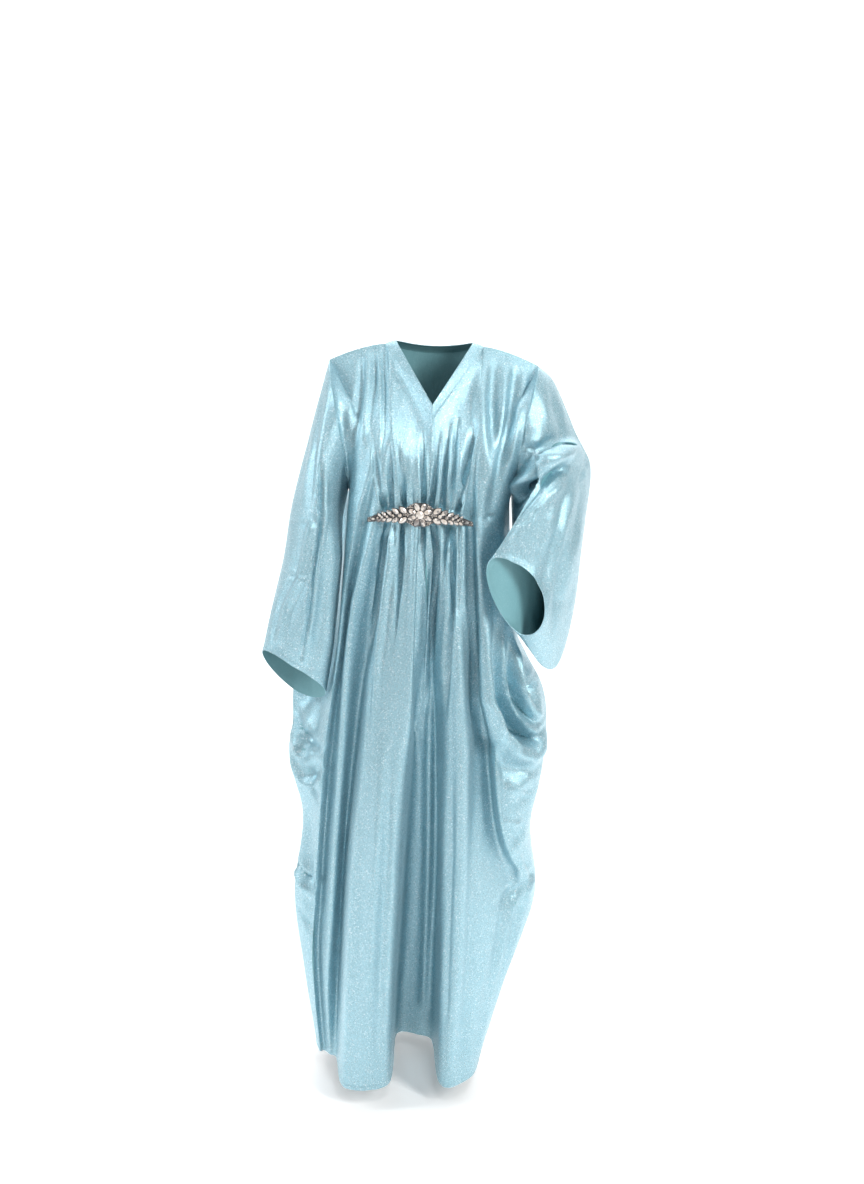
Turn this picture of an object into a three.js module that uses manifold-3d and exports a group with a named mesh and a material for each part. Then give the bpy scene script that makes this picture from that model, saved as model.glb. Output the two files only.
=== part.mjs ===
// A long butterfly-cut abaya worn on no one: front, back, two sleeves, neckband and a stone applique.
// Millimetres, +Z up, the front faces -Y, +X is the wearer's left, z = 0 is the high shoulder point.

import * as THREE from 'three';
import { mergeVertices } from 'three/addons/utils/BufferGeometryUtils.js';
import Module from 'manifold-3d';

// Driving sizes
const CLOTH = 1.2;
const SEAM = 0.3;
const LENGTH = 1440;
const WAIST_DROP = 303;
const CHEST_SHARE = 0.55;

// Shoulders and armholes, both sides alike
const SHOULDER = { neckHalf: 90, neckZ: -4, tipX: 190, tipZ: -35, slopePower: 1.5 };
const ARMHOLE = { bottomX: 152, flare: 38, flarePower: 1.6, midZ: -150, halfHeight: 115,
  frontDepth: 98, backDepth: 85, bottomY: 5 };

// Neckline at the seam with the band, and at the band's free edge
const NECK_SEAM = { half: 90, topZ: -4, frontDrop: 126, frontY: -106, backDrop: 16, backY: 62 };
const NECK_EDGE = { half: 70, topZ: 3, frontDrop: 107, frontY: -101, backDrop: 9, backY: 49 };
const NECK_LEAN = 0.75;

// Heights of the table columns below: chest is part of the way from each fold's top to the waist
const STATIONS = {
  waist: -WAIST_DROP, belly: -440, hip: -560, thigh: -640, knee: -770,
  calf: -920, shin: -1085, ankle: -1260, hem: -LENGTH,
};
const STATION_Z = Object.values(STATIONS);

// The side seams, shared by both panels. Columns: chest, then the stations from waist to hem, each [x, y]
const SIDE_RIGHT = { name: 'side seam, wearer right', chest: [-150, 12], at: [[-153, 24], [-176, 44],
  [-212, 48], [-252, 34], [-254, 12], [-226, 5], [-240, 5], [-222, 10], [-198, 12]] };
const SIDE_LEFT = { name: 'side seam, wearer left', chest: [150, 7], at: [[151, 8], [162, 14],
  [182, 12], [228, -8], [241, -8], [221, -4], [236, 20], [187, 25], [136, 25]] };

// Folds of the front from the wearer's right side to the left. Columns as for the side seams
const FRONT_FOLDS = [
  SIDE_RIGHT,
  { name: 'right wing, outer crest', chest: [-147, -46], at: [[-150, -30], [-163, -2], [-173, 0],
    [-196, 10], [-259, -22], [-232, -30], [-248, -32], [-228, -30], [-202, -20]] },
  { name: 'right wing, trough', chest: [-142, -86], at: [[-148, -84], [-157, -82], [-166, -80],
    [-177, -78], [-207, -70], [-210, -62], [-223, -60], [-217, -52], [-197, -38]] },
  { name: 'right wing, front edge', chest: [-110, -113], at: [[-129, -110], [-149, -108], [-160, -107],
    [-170, -105], [-186, -99], [-194, -90], [-203, -80], [-205, -68], [-192, -50]] },
  { name: 'right wing, valley', chest: [-98, -112], at: [[-116, -98], [-138, -88], [-150, -86],
    [-159, -82], [-172, -76], [-183, -70], [-192, -63], [-195, -56], [-184, -46]] },
  { name: 'skirt crest, right', chest: [-86, -114], at: [[-96, -114], [-128, -114], [-141, -112],
    [-146, -110], [-152, -106], [-160, -101], [-167, -95], [-175, -84], [-172, -58]] },
  { name: 'skirt trough, right', chest: [-74, -115], at: [[-78, -104], [-93, -95], [-106, -88],
    [-118, -82], [-131, -78], [-142, -74], [-150, -70], [-155, -66], [-156, -70]] },
  { name: 'right column, outer', chest: [-60, -116], at: [[-62, -119], [-79, -126], [-92, -130],
    [-97, -133], [-107, -138], [-122, -142], [-131, -147], [-135, -153], [-137, -157]] },
  { name: 'right column, middle', chest: [-36, -117], at: [[-28, -124], [-29, -138], [-32, -144],
    [-37, -147], [-49, -152], [-63, -157], [-75, -161], [-85, -165], [-88, -168]] },
  { name: 'right column, inner', chest: [-20, -117], at: [[-15, -122], [-11, -128], [-12, -132],
    [-17, -134], [-27, -137], [-33, -138], [-38, -138], [-42, -138], [-43, -136]] },
  { name: 'recess, right wall', chest: [-9, -117], at: [[-7, -112], [-3, -104], [-3, -95],
    [-6, -84], [-13, -64], [-18, -42], [-24, -20], [-31, 2], [-36, 18]] },
  { name: 'recess, back', chest: [0, -117], at: [[0, -115], [6, -106], [9, -96],
    [11, -82], [14, -62], [17, -40], [18, -18], [15, 4], [12, 16]] },
  { name: 'recess, left wall', chest: [10, -117], at: [[8, -112], [14, -104], [18, -95],
    [22, -82], [29, -64], [35, -46], [38, -28], [39, -12], [40, -4]] },
  { name: 'left column, inner', chest: [24, -117], at: [[20, -121], [28, -124], [32, -126],
    [36, -126], [40, -126], [43, -126], [46, -126], [49, -127], [52, -128]] },
  { name: 'left column, crest', chest: [52, -116], at: [[58, -124], [60, -136], [62, -142],
    [65, -146], [73, -150], [77, -153], [78, -154], [77, -154], [76, -152]] },
  { name: 'left wing, valley', chest: [76, -114], at: [[76, -106], [86, -102], [97, -98],
    [106, -94], [123, -90], [144, -86], [184, -76], [152, -96], [118, -116]] },
  { name: 'left wing, front edge', chest: [92, -113], at: [[88, -122], [99, -125], [110, -127],
    [120, -129], [139, -129], [164, -120], [221, -44], [176, -64], [132, -80]] },
  { name: 'left wing, trough', chest: [120, -106], at: [[114, -106], [128, -108], [146, -110],
    [160, -108], [190, -104], [198, -94], [234, -22], [186, -30], [138, -40]] },
  { name: 'left wing, outer crest', chest: [143, -90], at: [[134, -80], [152, -82], [174, -82],
    [208, -84], [228, -76], [214, -62], [238, -2], [189, 0], [139, -8]] },
  SIDE_LEFT,
];

// Folds of the back from the wearer's left side to the right. Columns as for the side seams
const BACK_FOLDS = [
  SIDE_LEFT,
  { name: 'left wing, back crest', chest: [141, 62], at: [[139, 58], [154, 60], [176, 56],
    [216, 36], [232, 34], [214, 40], [222, 60], [176, 66], [128, 68]] },
  { name: 'left back trough', chest: [134, 82], at: [[126, 76], [134, 78], [146, 78],
    [164, 72], [178, 72], [182, 78], [184, 86], [156, 92], [120, 94]] },
  { name: 'left blade crest', chest: [98, 96], at: [[92, 94], [102, 104], [112, 114],
    [124, 122], [138, 128], [142, 134], [142, 140], [130, 142], [104, 140]] },
  { name: 'left groove', chest: [56, 99], at: [[54, 88], [60, 94], [66, 98],
    [72, 102], [80, 106], [84, 110], [86, 114], [80, 116], [66, 114]] },
  { name: 'back centre crest', chest: [4, 102], at: [[6, 96], [10, 108], [12, 116],
    [12, 122], [10, 128], [6, 134], [4, 138], [0, 142], [-4, 140]] },
  { name: 'right groove', chest: [-50, 99], at: [[-44, 88], [-48, 92], [-54, 96],
    [-60, 98], [-68, 102], [-76, 106], [-80, 110], [-84, 112], [-82, 110]] },
  { name: 'right blade crest', chest: [-94, 97], at: [[-88, 95], [-100, 106], [-112, 116],
    [-122, 122], [-134, 126], [-142, 130], [-148, 134], [-150, 134], [-144, 130]] },
  { name: 'right back trough', chest: [-132, 84], at: [[-126, 78], [-140, 84], [-158, 84],
    [-176, 78], [-186, 70], [-186, 70], [-192, 72], [-188, 74], [-172, 74]] },
  { name: 'right wing, back crest', chest: [-141, 64], at: [[-164, 68], [-186, 78], [-206, 78],
    [-232, 70], [-240, 50], [-220, 42], [-232, 42], [-216, 46], [-192, 48]] },
  SIDE_RIGHT,
];

// Where the top edge of a panel turns: underarm, shoulder tip, neck, middle, neck, shoulder tip, underarm
const FRONT_CORNERS = [0, 3, 7, 11, 15, 17, 19];
const BACK_CORNERS = [0, 2, 4, 5, 6, 8, 10];

// Columns that each span between two folds is cut into, and rows in each band of height
const FRONT_SPANS = [2, 2, 3, 3, 3, 2, 3, 4, 3, 3, 2, 2, 3, 4, 3, 3, 3, 3, 3];
const BACK_SPANS = [3, 3, 2, 3, 4, 4, 3, 2, 3, 3];
const BODICE_ROWS = 6;
const SKIRT_ROWS = [4, 2, 2, 2, 3, 4, 2, 2];

// Gathers held by the waist: place across the front in folds, depth, and reach above and below the waist
const GATHERS = [
  { at: 6.6, depth: 4, above: 90, below: 40 },
  { at: 7.5, depth: 9, above: 110, below: 150 },
  { at: 8.6, depth: 4, above: 70, below: 50 },
  { at: 13.25, depth: 8, above: 120, below: 90 },
  { at: 13.75, depth: 8, above: 100, below: 190 },
];
const GATHER_HALF_WIDTH = 0.26;

// Sleeve sections from the armhole to the cuff, each through four points of its ring
const SLEEVE_RIGHT = [
  { name: 'armhole',
    top: [-190, 0, -35], front: [-164, -98, -150], under: [-152, 5, -265], back: [-164, 85, -150] },
  { name: 'upper arm',
    top: [-228, -4, -184], front: [-196, -112, -215], under: [-160, -34, -322], back: [-200, 50, -226] },
  { name: 'above elbow',
    top: [-256, -15, -300], front: [-208, -120, -320], under: [-157, -72, -385], back: [-210, 8, -325] },
  { name: 'elbow',
    top: [-271, -25, -400], front: [-214, -122, -410], under: [-162, -74, -455], back: [-213, -6, -412] },
  { name: 'forearm',
    top: [-291, -42, -495], front: [-228, -118, -505], under: [-170, -74, -550], back: [-227, -8, -520] },
  { name: 'cuff',
    top: [-307, -60, -578], front: [-243, -106, -590], under: [-185, -75, -648], back: [-250, -22, -664] },
];
const SLEEVE_LEFT = [
  { name: 'armhole',
    top: [190, 0, -35], front: [164, -98, -150], under: [152, 5, -265], back: [164, 85, -150] },
  { name: 'upper arm',
    top: [222, 18, -64], front: [188, -102, -190], under: [161, 8, -354], back: [215, 95, -200] },
  { name: 'above elbow',
    top: [263, 28, -152], front: [210, -82, -238], under: [192, 2, -456], back: [262, 88, -280] },
  { name: 'elbow',
    top: [290, 22, -205], front: [206, -110, -236], under: [244, 2, -530], back: [294, 55, -320] },
  { name: 'elbow roll',
    top: [254, -76, -218], front: [190, -128, -264], under: [240, -40, -596], back: [284, -28, -400] },
  { name: 'forearm',
    top: [227, -140, -303], front: [147, -155, -316], under: [210, -94, -570], back: [261, -74, -450] },
  { name: 'cuff',
    top: [150, -168, -367], front: [105, -160, -395], under: [172, -150, -502], back: [210, -155, -440] },
];
const SLEEVE_ROWS_PER_SECTION = 3;

// Waist applique: an arched spray of cut stones set on a thin backing
const APPLIQUE = { centre: -16, halfLength: 95, top: -294, droop: 16, backing: 1.2, columns: 28,
  centreHalfHeight: 21, armHalfHeight: 16, endHalfHeight: 4, centreShare: 0.2 };
const ROSETTE = { stoneRadius: 8, petals: 8, petalLength: 15, petalWidth: 7.5, petalRing: 14.5 };
const SPRAY = { steps: 5, start: 30, pitch: 13, shrink: 0.86, leafLength: 16, leafWidth: 7.5,
  leafAngle: 0.62, leafRise: 9, beadRadius: 3.6, beadShare: 0.42, endGap: 4 };
const STONE = { height: 3.0, sunk: 0.5, bevel: 0.55, pinch: 1.15 };

// Shares and counts nearer than this are the same
const SAME = 1e-3;

// Small vector tools
const mix = (a, b, t) => a + (b - a) * t;
const mixPoint = (a, b, t) => a.map((value, i) => mix(value, b[i], t));
const add = (a, b, scale = 1) => a.map((value, i) => value + b[i] * scale);
const subtract = (a, b) => a.map((value, i) => value - b[i]);
const cross = (a, b) => [a[1] * b[2] - a[2] * b[1], a[2] * b[0] - a[0] * b[2], a[0] * b[1] - a[1] * b[0]];
const unit = (a) => a.map((value) => value / Math.hypot(...a));
const clamp = (value, low, high) => Math.min(high, Math.max(low, value));

// A smooth curve through evenly counted values, with its end slopes given by neighbours
const CURVE_TENSION = 0.42;
function smoothSpan(before, from, to, after, t) {
  const startSlope = (to - before) * CURVE_TENSION;
  const endSlope = (after - from) * CURVE_TENSION;
  const t2 = t * t;
  const t3 = t2 * t;
  return (2 * t3 - 3 * t2 + 1) * from + (t3 - 2 * t2 + t) * startSlope
    + (3 * t2 - 2 * t3) * to + (t3 - t2) * endSlope;
}

// A smooth curve through values at uneven places, as heights are
function smoothAt(places, values, place) {
  const last = places.length - 1;
  let span = 0;
  while (span < last - 1 && (places[span + 1] - place) * (places[last] - places[0]) < 0) span += 1;
  const slopeBetween = (i) => (values[i + 1] - values[i]) / (places[i + 1] - places[i]);
  const slopeAt = (i) => {
    if (i === 0) return slopeBetween(0);
    if (i === last) return slopeBetween(last - 1);
    const before = Math.abs(places[i] - places[i - 1]);
    const after = Math.abs(places[i + 1] - places[i]);
    return (slopeBetween(i - 1) * after + slopeBetween(i) * before) / (before + after);
  };
  const width = places[span + 1] - places[span];
  const t = (place - places[span]) / width;
  const t2 = t * t;
  const t3 = t2 * t;
  return (2 * t3 - 3 * t2 + 1) * values[span] + (t3 - 2 * t2 + t) * width * slopeAt(span)
    + (3 * t2 - 2 * t3) * values[span + 1] + (t3 - t2) * width * slopeAt(span + 1);
}

// Armhole edge: angle runs from -90 degrees at the underarm to 90 at the shoulder tip
function armholePoint(side, half, angle) {
  const rise = (Math.sin(angle) + 1) / 2;
  const depth = half === 'front' ? -ARMHOLE.frontDepth : ARMHOLE.backDepth;
  const x = ARMHOLE.bottomX + ARMHOLE.flare * rise ** ARMHOLE.flarePower;
  const y = depth * Math.cos(angle) + ARMHOLE.bottomY * (1 - rise);
  const z = ARMHOLE.midZ + ARMHOLE.halfHeight * Math.sin(angle);
  return [side * x, y, z];
}

// Thickness direction of the armhole edge, the same for the panels and the sleeve
function armholeNormal(side, half, angle) {
  const depth = half === 'front' ? -1 : 1;
  return unit([0, depth * Math.cos(angle) * ARMHOLE.halfHeight,
    Math.sin(angle) * (half === 'front' ? ARMHOLE.frontDepth : ARMHOLE.backDepth)]);
}

function shoulderPoint(side, share) {
  const x = mix(SHOULDER.tipX, SHOULDER.neckHalf, share);
  const z = mix(SHOULDER.tipZ, SHOULDER.neckZ, 1 - (1 - share) ** SHOULDER.slopePower);
  return [side * x, 0, z];
}

// Neckline: share runs from 0 at the shoulder to 1 at the middle,
// and inset from 0 at the seam to 1 at the free edge
function neckPoint(side, half, share, inset) {
  const size = (key) => mix(NECK_SEAM[key], NECK_EDGE[key], inset);
  if (half === 'front') {
    return [side * size('half') * (1 - share), size('frontY') * share ** NECK_LEAN,
      size('topZ') - size('frontDrop') * share];
  }
  const angle = share * Math.PI / 2;
  return [side * size('half') * Math.cos(angle), size('backY') * Math.sin(angle),
    size('topZ') - size('backDrop') * Math.sin(angle) ** 2];
}

function neckNormal(half, share) {
  const step = 0.02;
  const flip = half === 'front' ? 1 : -1;
  const sideNormal = (side) => {
    const along = subtract(neckPoint(side, half, Math.min(1, share + step), 0.5),
      neckPoint(side, half, Math.max(0, share - step), 0.5));
    const inward = subtract(neckPoint(side, half, share, 1), neckPoint(side, half, share, 0));
    return unit(cross(inward, along).map((value) => value * side * flip));
  };
  return sideNormal;
}

// One point of a panel's top edge, with the thickness direction there
function topEdge(half, corners, u) {
  const startSide = half === 'front' ? -1 : 1;
  const part = clamp(corners.filter((corner) => corner < u - SAME).length, 1, 6) - 1;
  const share = clamp((u - corners[part]) / (corners[part + 1] - corners[part]), 0, 1);
  const side = part < 3 ? startSide : -startSide;
  const mirrored = part < 3 ? share : 1 - share;
  const kind = part < 3 ? part : 5 - part;
  if (kind === 0) {
    const angle = (mirrored - 0.5) * Math.PI;
    return { point: armholePoint(side, half, angle), normal: armholeNormal(side, half, angle) };
  }
  if (kind === 1) {
    return { point: shoulderPoint(side, mirrored), normal: [0, 0, 1] };
  }
  const atMiddle = mirrored > 1 - SAME;
  const atShoulder = mirrored < SAME;
  const own = neckNormal(half, mirrored)(side);
  const middle = unit([0, own[1], own[2]]);
  const normal = atMiddle ? middle : (atShoulder ? [0, 0, 1] : own);
  return { point: neckPoint(side, half, mirrored, 0), normal };
}

// Depth of the waist gathers at a place on the front
function gatherDepth(u, z) {
  let depth = 0;
  for (const gather of GATHERS) {
    const across = Math.abs(u - gather.at) / GATHER_HALF_WIDTH;
    const reach = z > -WAIST_DROP ? gather.above : gather.below;
    const along = Math.abs(z + WAIST_DROP) / reach;
    if (across < 1 && along < 1) depth += gather.depth * (1 - across ** 2) * (1 - along ** 2);
  }
  return depth;
}

// One panel as a set of rules: where its surface is at fold count u and row height
function makePanel(half, folds, corners, neighbours) {
  const ring = [neighbours[neighbours.length - 2], ...folds, neighbours[1]];
  const across = (u, pick) => {
    const span = clamp(Math.floor(u), 0, folds.length - 2);
    const [before, from, to, after] = ring.slice(span, span + 4).map(pick);
    return [0, 1].map((axis) => smoothSpan(before[axis], from[axis], to[axis], after[axis], u - span));
  };
  const shift = half === 'front' ? -SEAM / 2 : SEAM / 2;
  return (u, height) => {
    const top = topEdge(half, corners, u).point;
    const chestZ = mix(top[2], STATIONS.waist, CHEST_SHARE);
    const points = [[top[0], top[1]], across(u, (fold) => fold.chest)];
    STATION_Z.forEach((z, i) => points.push(across(u, (fold) => fold.at[i])));
    const z = height >= 0 ? mix(top[2], STATIONS.waist, height) : height;
    const places = [top[2], chestZ, ...STATION_Z];
    const x = smoothAt(places, points.map((point) => point[0]), z);
    const y = smoothAt(places, points.map((point) => point[1]), z);
    const gathered = half === 'front' ? gatherDepth(u, z) : 0;
    return [x, y + gathered + shift, z];
  };
}

// Row heights: 0 to 1 is a share of the bodice from its top edge, below that a real height
function rowHeights() {
  const rows = [];
  for (let i = 0; i < BODICE_ROWS; i += 1) rows.push(i / BODICE_ROWS);
  SKIRT_ROWS.forEach((count, band) => {
    for (let i = 0; i < count; i += 1) rows.push(mix(STATION_Z[band], STATION_Z[band + 1], i / count));
  });
  rows.push(STATIONS.hem);
  return rows;
}

function columnPlaces(spans) {
  const columns = [0];
  spans.forEach((count, span) => {
    for (let i = 1; i <= count; i += 1) columns.push(span + i / count);
  });
  return columns;
}

// Direction along a line at its middle point, halfway between the directions of its two parts
function alongLine(before, middle, after) {
  const parts = [[before, middle], [middle, after]].map(([from, to]) => subtract(to, from));
  return parts.filter((part) => Math.hypot(...part) > SAME).map(unit).reduce((sum, part) => add(sum, part));
}

// Thickness directions of a grid, whose rows run down and columns run across, seen from outside
function gridNormals(grid, closedAround) {
  const rows = grid.length;
  const columns = grid[0].length;
  const leftEnd = closedAround ? columns - 1 : 0;
  const rightEnd = closedAround ? 0 : columns - 1;
  return grid.map((row, r) => row.map((point, c) => {
    const up = grid[Math.max(0, r - 1)][c];
    const down = grid[Math.min(rows - 1, r + 1)][c];
    const left = row[c > 0 ? c - 1 : leftEnd];
    const right = row[c < columns - 1 ? c + 1 : rightEnd];
    return unit(cross(alongLine(up, point, down), alongLine(left, point, right)));
  }));
}

// A closed wall between an outer grid and its copy moved inwards, open or closed around
function wallGeometry(grid, normals, thickness, closedAround) {
  const rows = grid.length;
  const columns = grid[0].length;
  const positions = [];
  grid.forEach((row) => row.forEach((point) => positions.push(...point)));
  grid.forEach((row, r) => row.forEach((point, c) => {
    positions.push(...add(point, normals[r][c], -thickness));
  }));
  const outer = (r, c) => r * columns + (c % columns);
  const inner = (r, c) => rows * columns + outer(r, c);
  const end = columns - 1;
  const triangles = [];
  const quad = (a, b, c, d) => triangles.push(a, b, c, a, c, d);
  const spans = closedAround ? columns : columns - 1;
  for (let r = 0; r < rows - 1; r += 1) {
    for (let c = 0; c < spans; c += 1) {
      quad(outer(r, c), outer(r + 1, c), outer(r + 1, c + 1), outer(r, c + 1));
      quad(inner(r, c), inner(r, c + 1), inner(r + 1, c + 1), inner(r + 1, c));
    }
  }
  for (let c = 0; c < spans; c += 1) {
    quad(outer(0, c), outer(0, c + 1), inner(0, c + 1), inner(0, c));
    quad(outer(rows - 1, c), inner(rows - 1, c), inner(rows - 1, c + 1), outer(rows - 1, c + 1));
  }
  if (!closedAround) {
    for (let r = 0; r < rows - 1; r += 1) {
      quad(outer(r, 0), inner(r, 0), inner(r + 1, 0), outer(r + 1, 0));
      quad(outer(r, end), outer(r + 1, end), inner(r + 1, end), inner(r, end));
    }
  }
  const geometry = new THREE.BufferGeometry();
  geometry.setAttribute('position', new THREE.Float32BufferAttribute(positions, 3));
  geometry.setIndex(triangles);
  return geometry;
}

const HEIGHTS = rowHeights();
const frontAt = makePanel('front', FRONT_FOLDS, FRONT_CORNERS, BACK_FOLDS);
const backAt = makePanel('back', BACK_FOLDS, BACK_CORNERS, FRONT_FOLDS);

function panelGeometry(half) {
  const isFront = half === 'front';
  const columns = columnPlaces(isFront ? FRONT_SPANS : BACK_SPANS);
  const at = isFront ? frontAt : backAt;
  const other = isFront ? backAt : frontAt;
  const otherEnd = isFront ? BACK_FOLDS.length - 1 : FRONT_FOLDS.length - 1;
  const grid = HEIGHTS.map((height) => columns.map((u) => at(u, height)));
  const normals = gridNormals(grid, false);
  seamNormals(grid, normals, at, other, otherEnd);
  const corners = isFront ? FRONT_CORNERS : BACK_CORNERS;
  columns.forEach((u, c) => { normals[0][c] = topEdge(half, corners, u).normal; });
  return wallGeometry(grid, normals, CLOTH, false);
}

// Both panels take the same thickness direction along a side seam, so their edges stay parted
const SEAM_STEP = 0.4;

function seamNormals(grid, normals, at, other, otherEnd) {
  const last = grid[0].length - 1;
  const ownEnd = at === frontAt ? FRONT_FOLDS.length - 1 : BACK_FOLDS.length - 1;
  HEIGHTS.forEach((height, r) => {
    const below = HEIGHTS[Math.min(r + 1, HEIGHTS.length - 1)];
    const above = HEIGHTS[Math.max(r - 1, 0)];
    const [start, end] = [at(0, height), at(ownEnd, height)];
    const startDown = alongLine(at(0, above), start, at(0, below));
    const startAcross = alongLine(other(otherEnd - SEAM_STEP, height), start, at(SEAM_STEP, height));
    const endDown = alongLine(at(ownEnd, above), end, at(ownEnd, below));
    const endAcross = alongLine(at(ownEnd - SEAM_STEP, height), end, other(SEAM_STEP, height));
    normals[r][0] = unit(cross(startDown, startAcross));
    normals[r][last] = unit(cross(endDown, endAcross));
  });
}

// Angles round an armhole: every edge point of both panels, and one more between each two.
// 0 is the shoulder tip, a quarter turn the front, a half turn the underarm, three quarters the back
function armholeAngles(side) {
  const shares = (half) => {
    const corners = half === 'front' ? FRONT_CORNERS : BACK_CORNERS;
    const columns = columnPlaces(half === 'front' ? FRONT_SPANS : BACK_SPANS);
    const first = (half === 'front') === (side < 0);
    const [low, high] = first ? corners.slice(0, 2) : corners.slice(5, 7);
    const own = columns.filter((u) => u >= low - SAME && u <= high + SAME);
    return own.map((u) => (first ? high - u : u - low) / (high - low)).sort((a, b) => a - b);
  };
  const front = shares('front').map((share) => share * Math.PI);
  const back = shares('back').map((share) => (2 - share) * Math.PI).sort((a, b) => a - b);
  const corners = [...front, ...back.slice(1)];
  const angles = [];
  for (let i = 0; i < corners.length - 1; i += 1) {
    angles.push({ angle: corners[i], from: corners[i], to: corners[i] });
    angles.push({ angle: mix(corners[i], corners[i + 1], 0.5), from: corners[i], to: corners[i + 1] });
  }
  return angles;
}

function armholeAt(side, angle) {
  const half = angle <= Math.PI ? 'front' : 'back';
  const climb = half === 'front' ? Math.PI / 2 - angle : angle - Math.PI * 1.5;
  return { point: armholePoint(side, half, climb), normal: armholeNormal(side, half, climb) };
}

// Sleeve surface at a section count and a place round the armhole
function sleevePoint(sections, side, along, { angle, from: edgeFrom, to: edgeTo }) {
  const span = clamp(Math.floor(along), 0, sections.length - 2);
  const pick = (i) => sections[clamp(i, 0, sections.length - 1)];
  const corner = (key) => [0, 1, 2].map((axis) => smoothSpan(pick(span - 1)[key][axis],
    pick(span)[key][axis], pick(span + 1)[key][axis], pick(span + 2)[key][axis], along - span));
  const ringPoint = (corners) => {
    const middle = corners.reduce((sum, point) => add(sum, point, 1 / corners.length), [0, 0, 0]);
    const quarter = clamp(Math.floor(angle / (Math.PI / 2) + SAME), 0, 3);
    const turn = angle - quarter * Math.PI / 2;
    const from = subtract(corners[quarter], middle);
    const to = subtract(corners[(quarter + 1) % 4], middle);
    return middle.map((value, axis) => value + from[axis] * Math.cos(turn) + to[axis] * Math.sin(turn));
  };
  const keys = ['top', 'front', 'under', 'back'];
  const point = ringPoint(keys.map(corner));
  if (along >= 1) return point;
  const chord = mixPoint(armholeAt(side, edgeFrom).point, armholeAt(side, edgeTo).point, 0.5);
  const edge = add(chord, [side * SEAM, 0, 0]);
  const drawn = ringPoint(keys.map((key) => sections[0][key]));
  return add(point, subtract(edge, drawn), (1 - along) ** 2);
}

function sleeveGeometry(sections, side) {
  const rows = (sections.length - 1) * SLEEVE_ROWS_PER_SECTION;
  const places = armholeAngles(side);
  if (side > 0) places.reverse();
  const grid = [];
  for (let r = 0; r <= rows; r += 1) {
    const along = r / SLEEVE_ROWS_PER_SECTION;
    grid.push(places.map((place) => sleevePoint(sections, side, along, place)));
  }
  const normals = gridNormals(grid, true);
  places.forEach(({ from, to }, c) => {
    normals[0][c] = unit(mixPoint(armholeAt(side, from).normal, armholeAt(side, to).normal, 0.5));
  });
  return wallGeometry(grid, normals, CLOTH, true);
}

// Neckband: a narrow strip along the whole neckline, from the panels' own edge points
const BAND_ROWS = [1, 0.5, 0];

function neckbandGeometry() {
  const loop = [];
  const walk = (half, corners, spans, startSide) => {
    const [low, middle, high] = corners.slice(2, 5);
    for (const u of columnPlaces(spans).filter((place) => place > low - SAME && place < high - SAME)) {
      const share = u < middle ? (u - low) / (middle - low) : (high - u) / (high - middle);
      loop.push({ side: u < middle ? startSide : -startSide, half, share });
    }
  };
  walk('front', FRONT_CORNERS, FRONT_SPANS, -1);
  walk('back', BACK_CORNERS, BACK_SPANS, 1);
  const seamInset = SEAM / (NECK_SEAM.half - NECK_EDGE.half);
  const bandNormal = ({ side, half, share }) => {
    if (share < SAME) return [0, 0, 1];
    const own = neckNormal(half, share)(side);
    return share > 1 - SAME ? unit([0, own[1], own[2]]) : own;
  };
  const grid = BAND_ROWS.map((row) => loop.map(({ side, half, share }) => (
    neckPoint(side, half, share, mix(seamInset, 1, row)))));
  const normals = grid.map(() => loop.map(bandNormal));
  return wallGeometry(grid, normals, CLOTH, true);
}

// Applique: its spine, its half height, and the taut line over the crests that it lies on
const spineZ = (x) => APPLIQUE.top - APPLIQUE.droop * ((x - APPLIQUE.centre) / APPLIQUE.halfLength) ** 2;

function backingHalfHeight(x) {
  const share = Math.abs(x - APPLIQUE.centre) / APPLIQUE.halfLength;
  const swell = Math.exp(-((share / APPLIQUE.centreShare) ** 4));
  const arm = mix(APPLIQUE.armHalfHeight, APPLIQUE.endHalfHeight, share);
  return mix(arm, APPLIQUE.centreHalfHeight, swell);
}

const CREST_SEARCH = { margin: 6, above: 30, below: 45, foldStep: 0.05, zStep: 3 };

function crestsUnderApplique() {
  const crests = [];
  for (let u = 1; u <= 19; u += CREST_SEARCH.foldStep) {
    const topZ = topEdge('front', FRONT_CORNERS, u).point[2];
    const lowest = APPLIQUE.top - CREST_SEARCH.below;
    for (let z = APPLIQUE.top + CREST_SEARCH.above; z > lowest; z -= CREST_SEARCH.zStep) {
      const height = z > STATIONS.waist ? clamp((z - topZ) / (STATIONS.waist - topZ), 0, 1) : z;
      const [x, y] = frontAt(u, height);
      const beside = Math.abs(x - APPLIQUE.centre) - APPLIQUE.halfLength;
      const beyond = Math.abs(z - spineZ(x)) - backingHalfHeight(x);
      if (Math.max(beside, beyond) < CREST_SEARCH.margin) crests.push([x, y]);
    }
  }
  return crests.sort((a, b) => a[0] - b[0]);
}

function appliqueArc() {
  const hull = [];
  for (const crest of crestsUnderApplique()) {
    const turn = () => {
      const [a, b] = hull.slice(-2);
      return (b[0] - a[0]) * (crest[1] - a[1]) - (b[1] - a[1]) * (crest[0] - a[0]);
    };
    while (hull.length > 1 && turn() <= 0) hull.pop();
    hull.push(crest);
  }
  return (x) => {
    const next = clamp(hull.findIndex((point) => point[0] > x), 1, hull.length - 1);
    const [from, to] = [hull[next - 1], hull[next]];
    return mix(from[1], to[1], (x - from[0]) / (to[0] - from[0])) - SEAM;
  };
}

function backingGeometry(arc) {
  const grid = [1, -1].map((edge) => {
    const row = [];
    for (let c = 0; c <= APPLIQUE.columns; c += 1) {
      const x = APPLIQUE.centre + mix(-1, 1, c / APPLIQUE.columns) * APPLIQUE.halfLength;
      row.push([x, arc(x) - APPLIQUE.backing, spineZ(x) + edge * backingHalfHeight(x)]);
    }
    return row;
  });
  const normals = grid.map((row) => row.map(() => [0, -1, 0]));
  return wallGeometry(grid, normals, APPLIQUE.backing, false);
}

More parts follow.
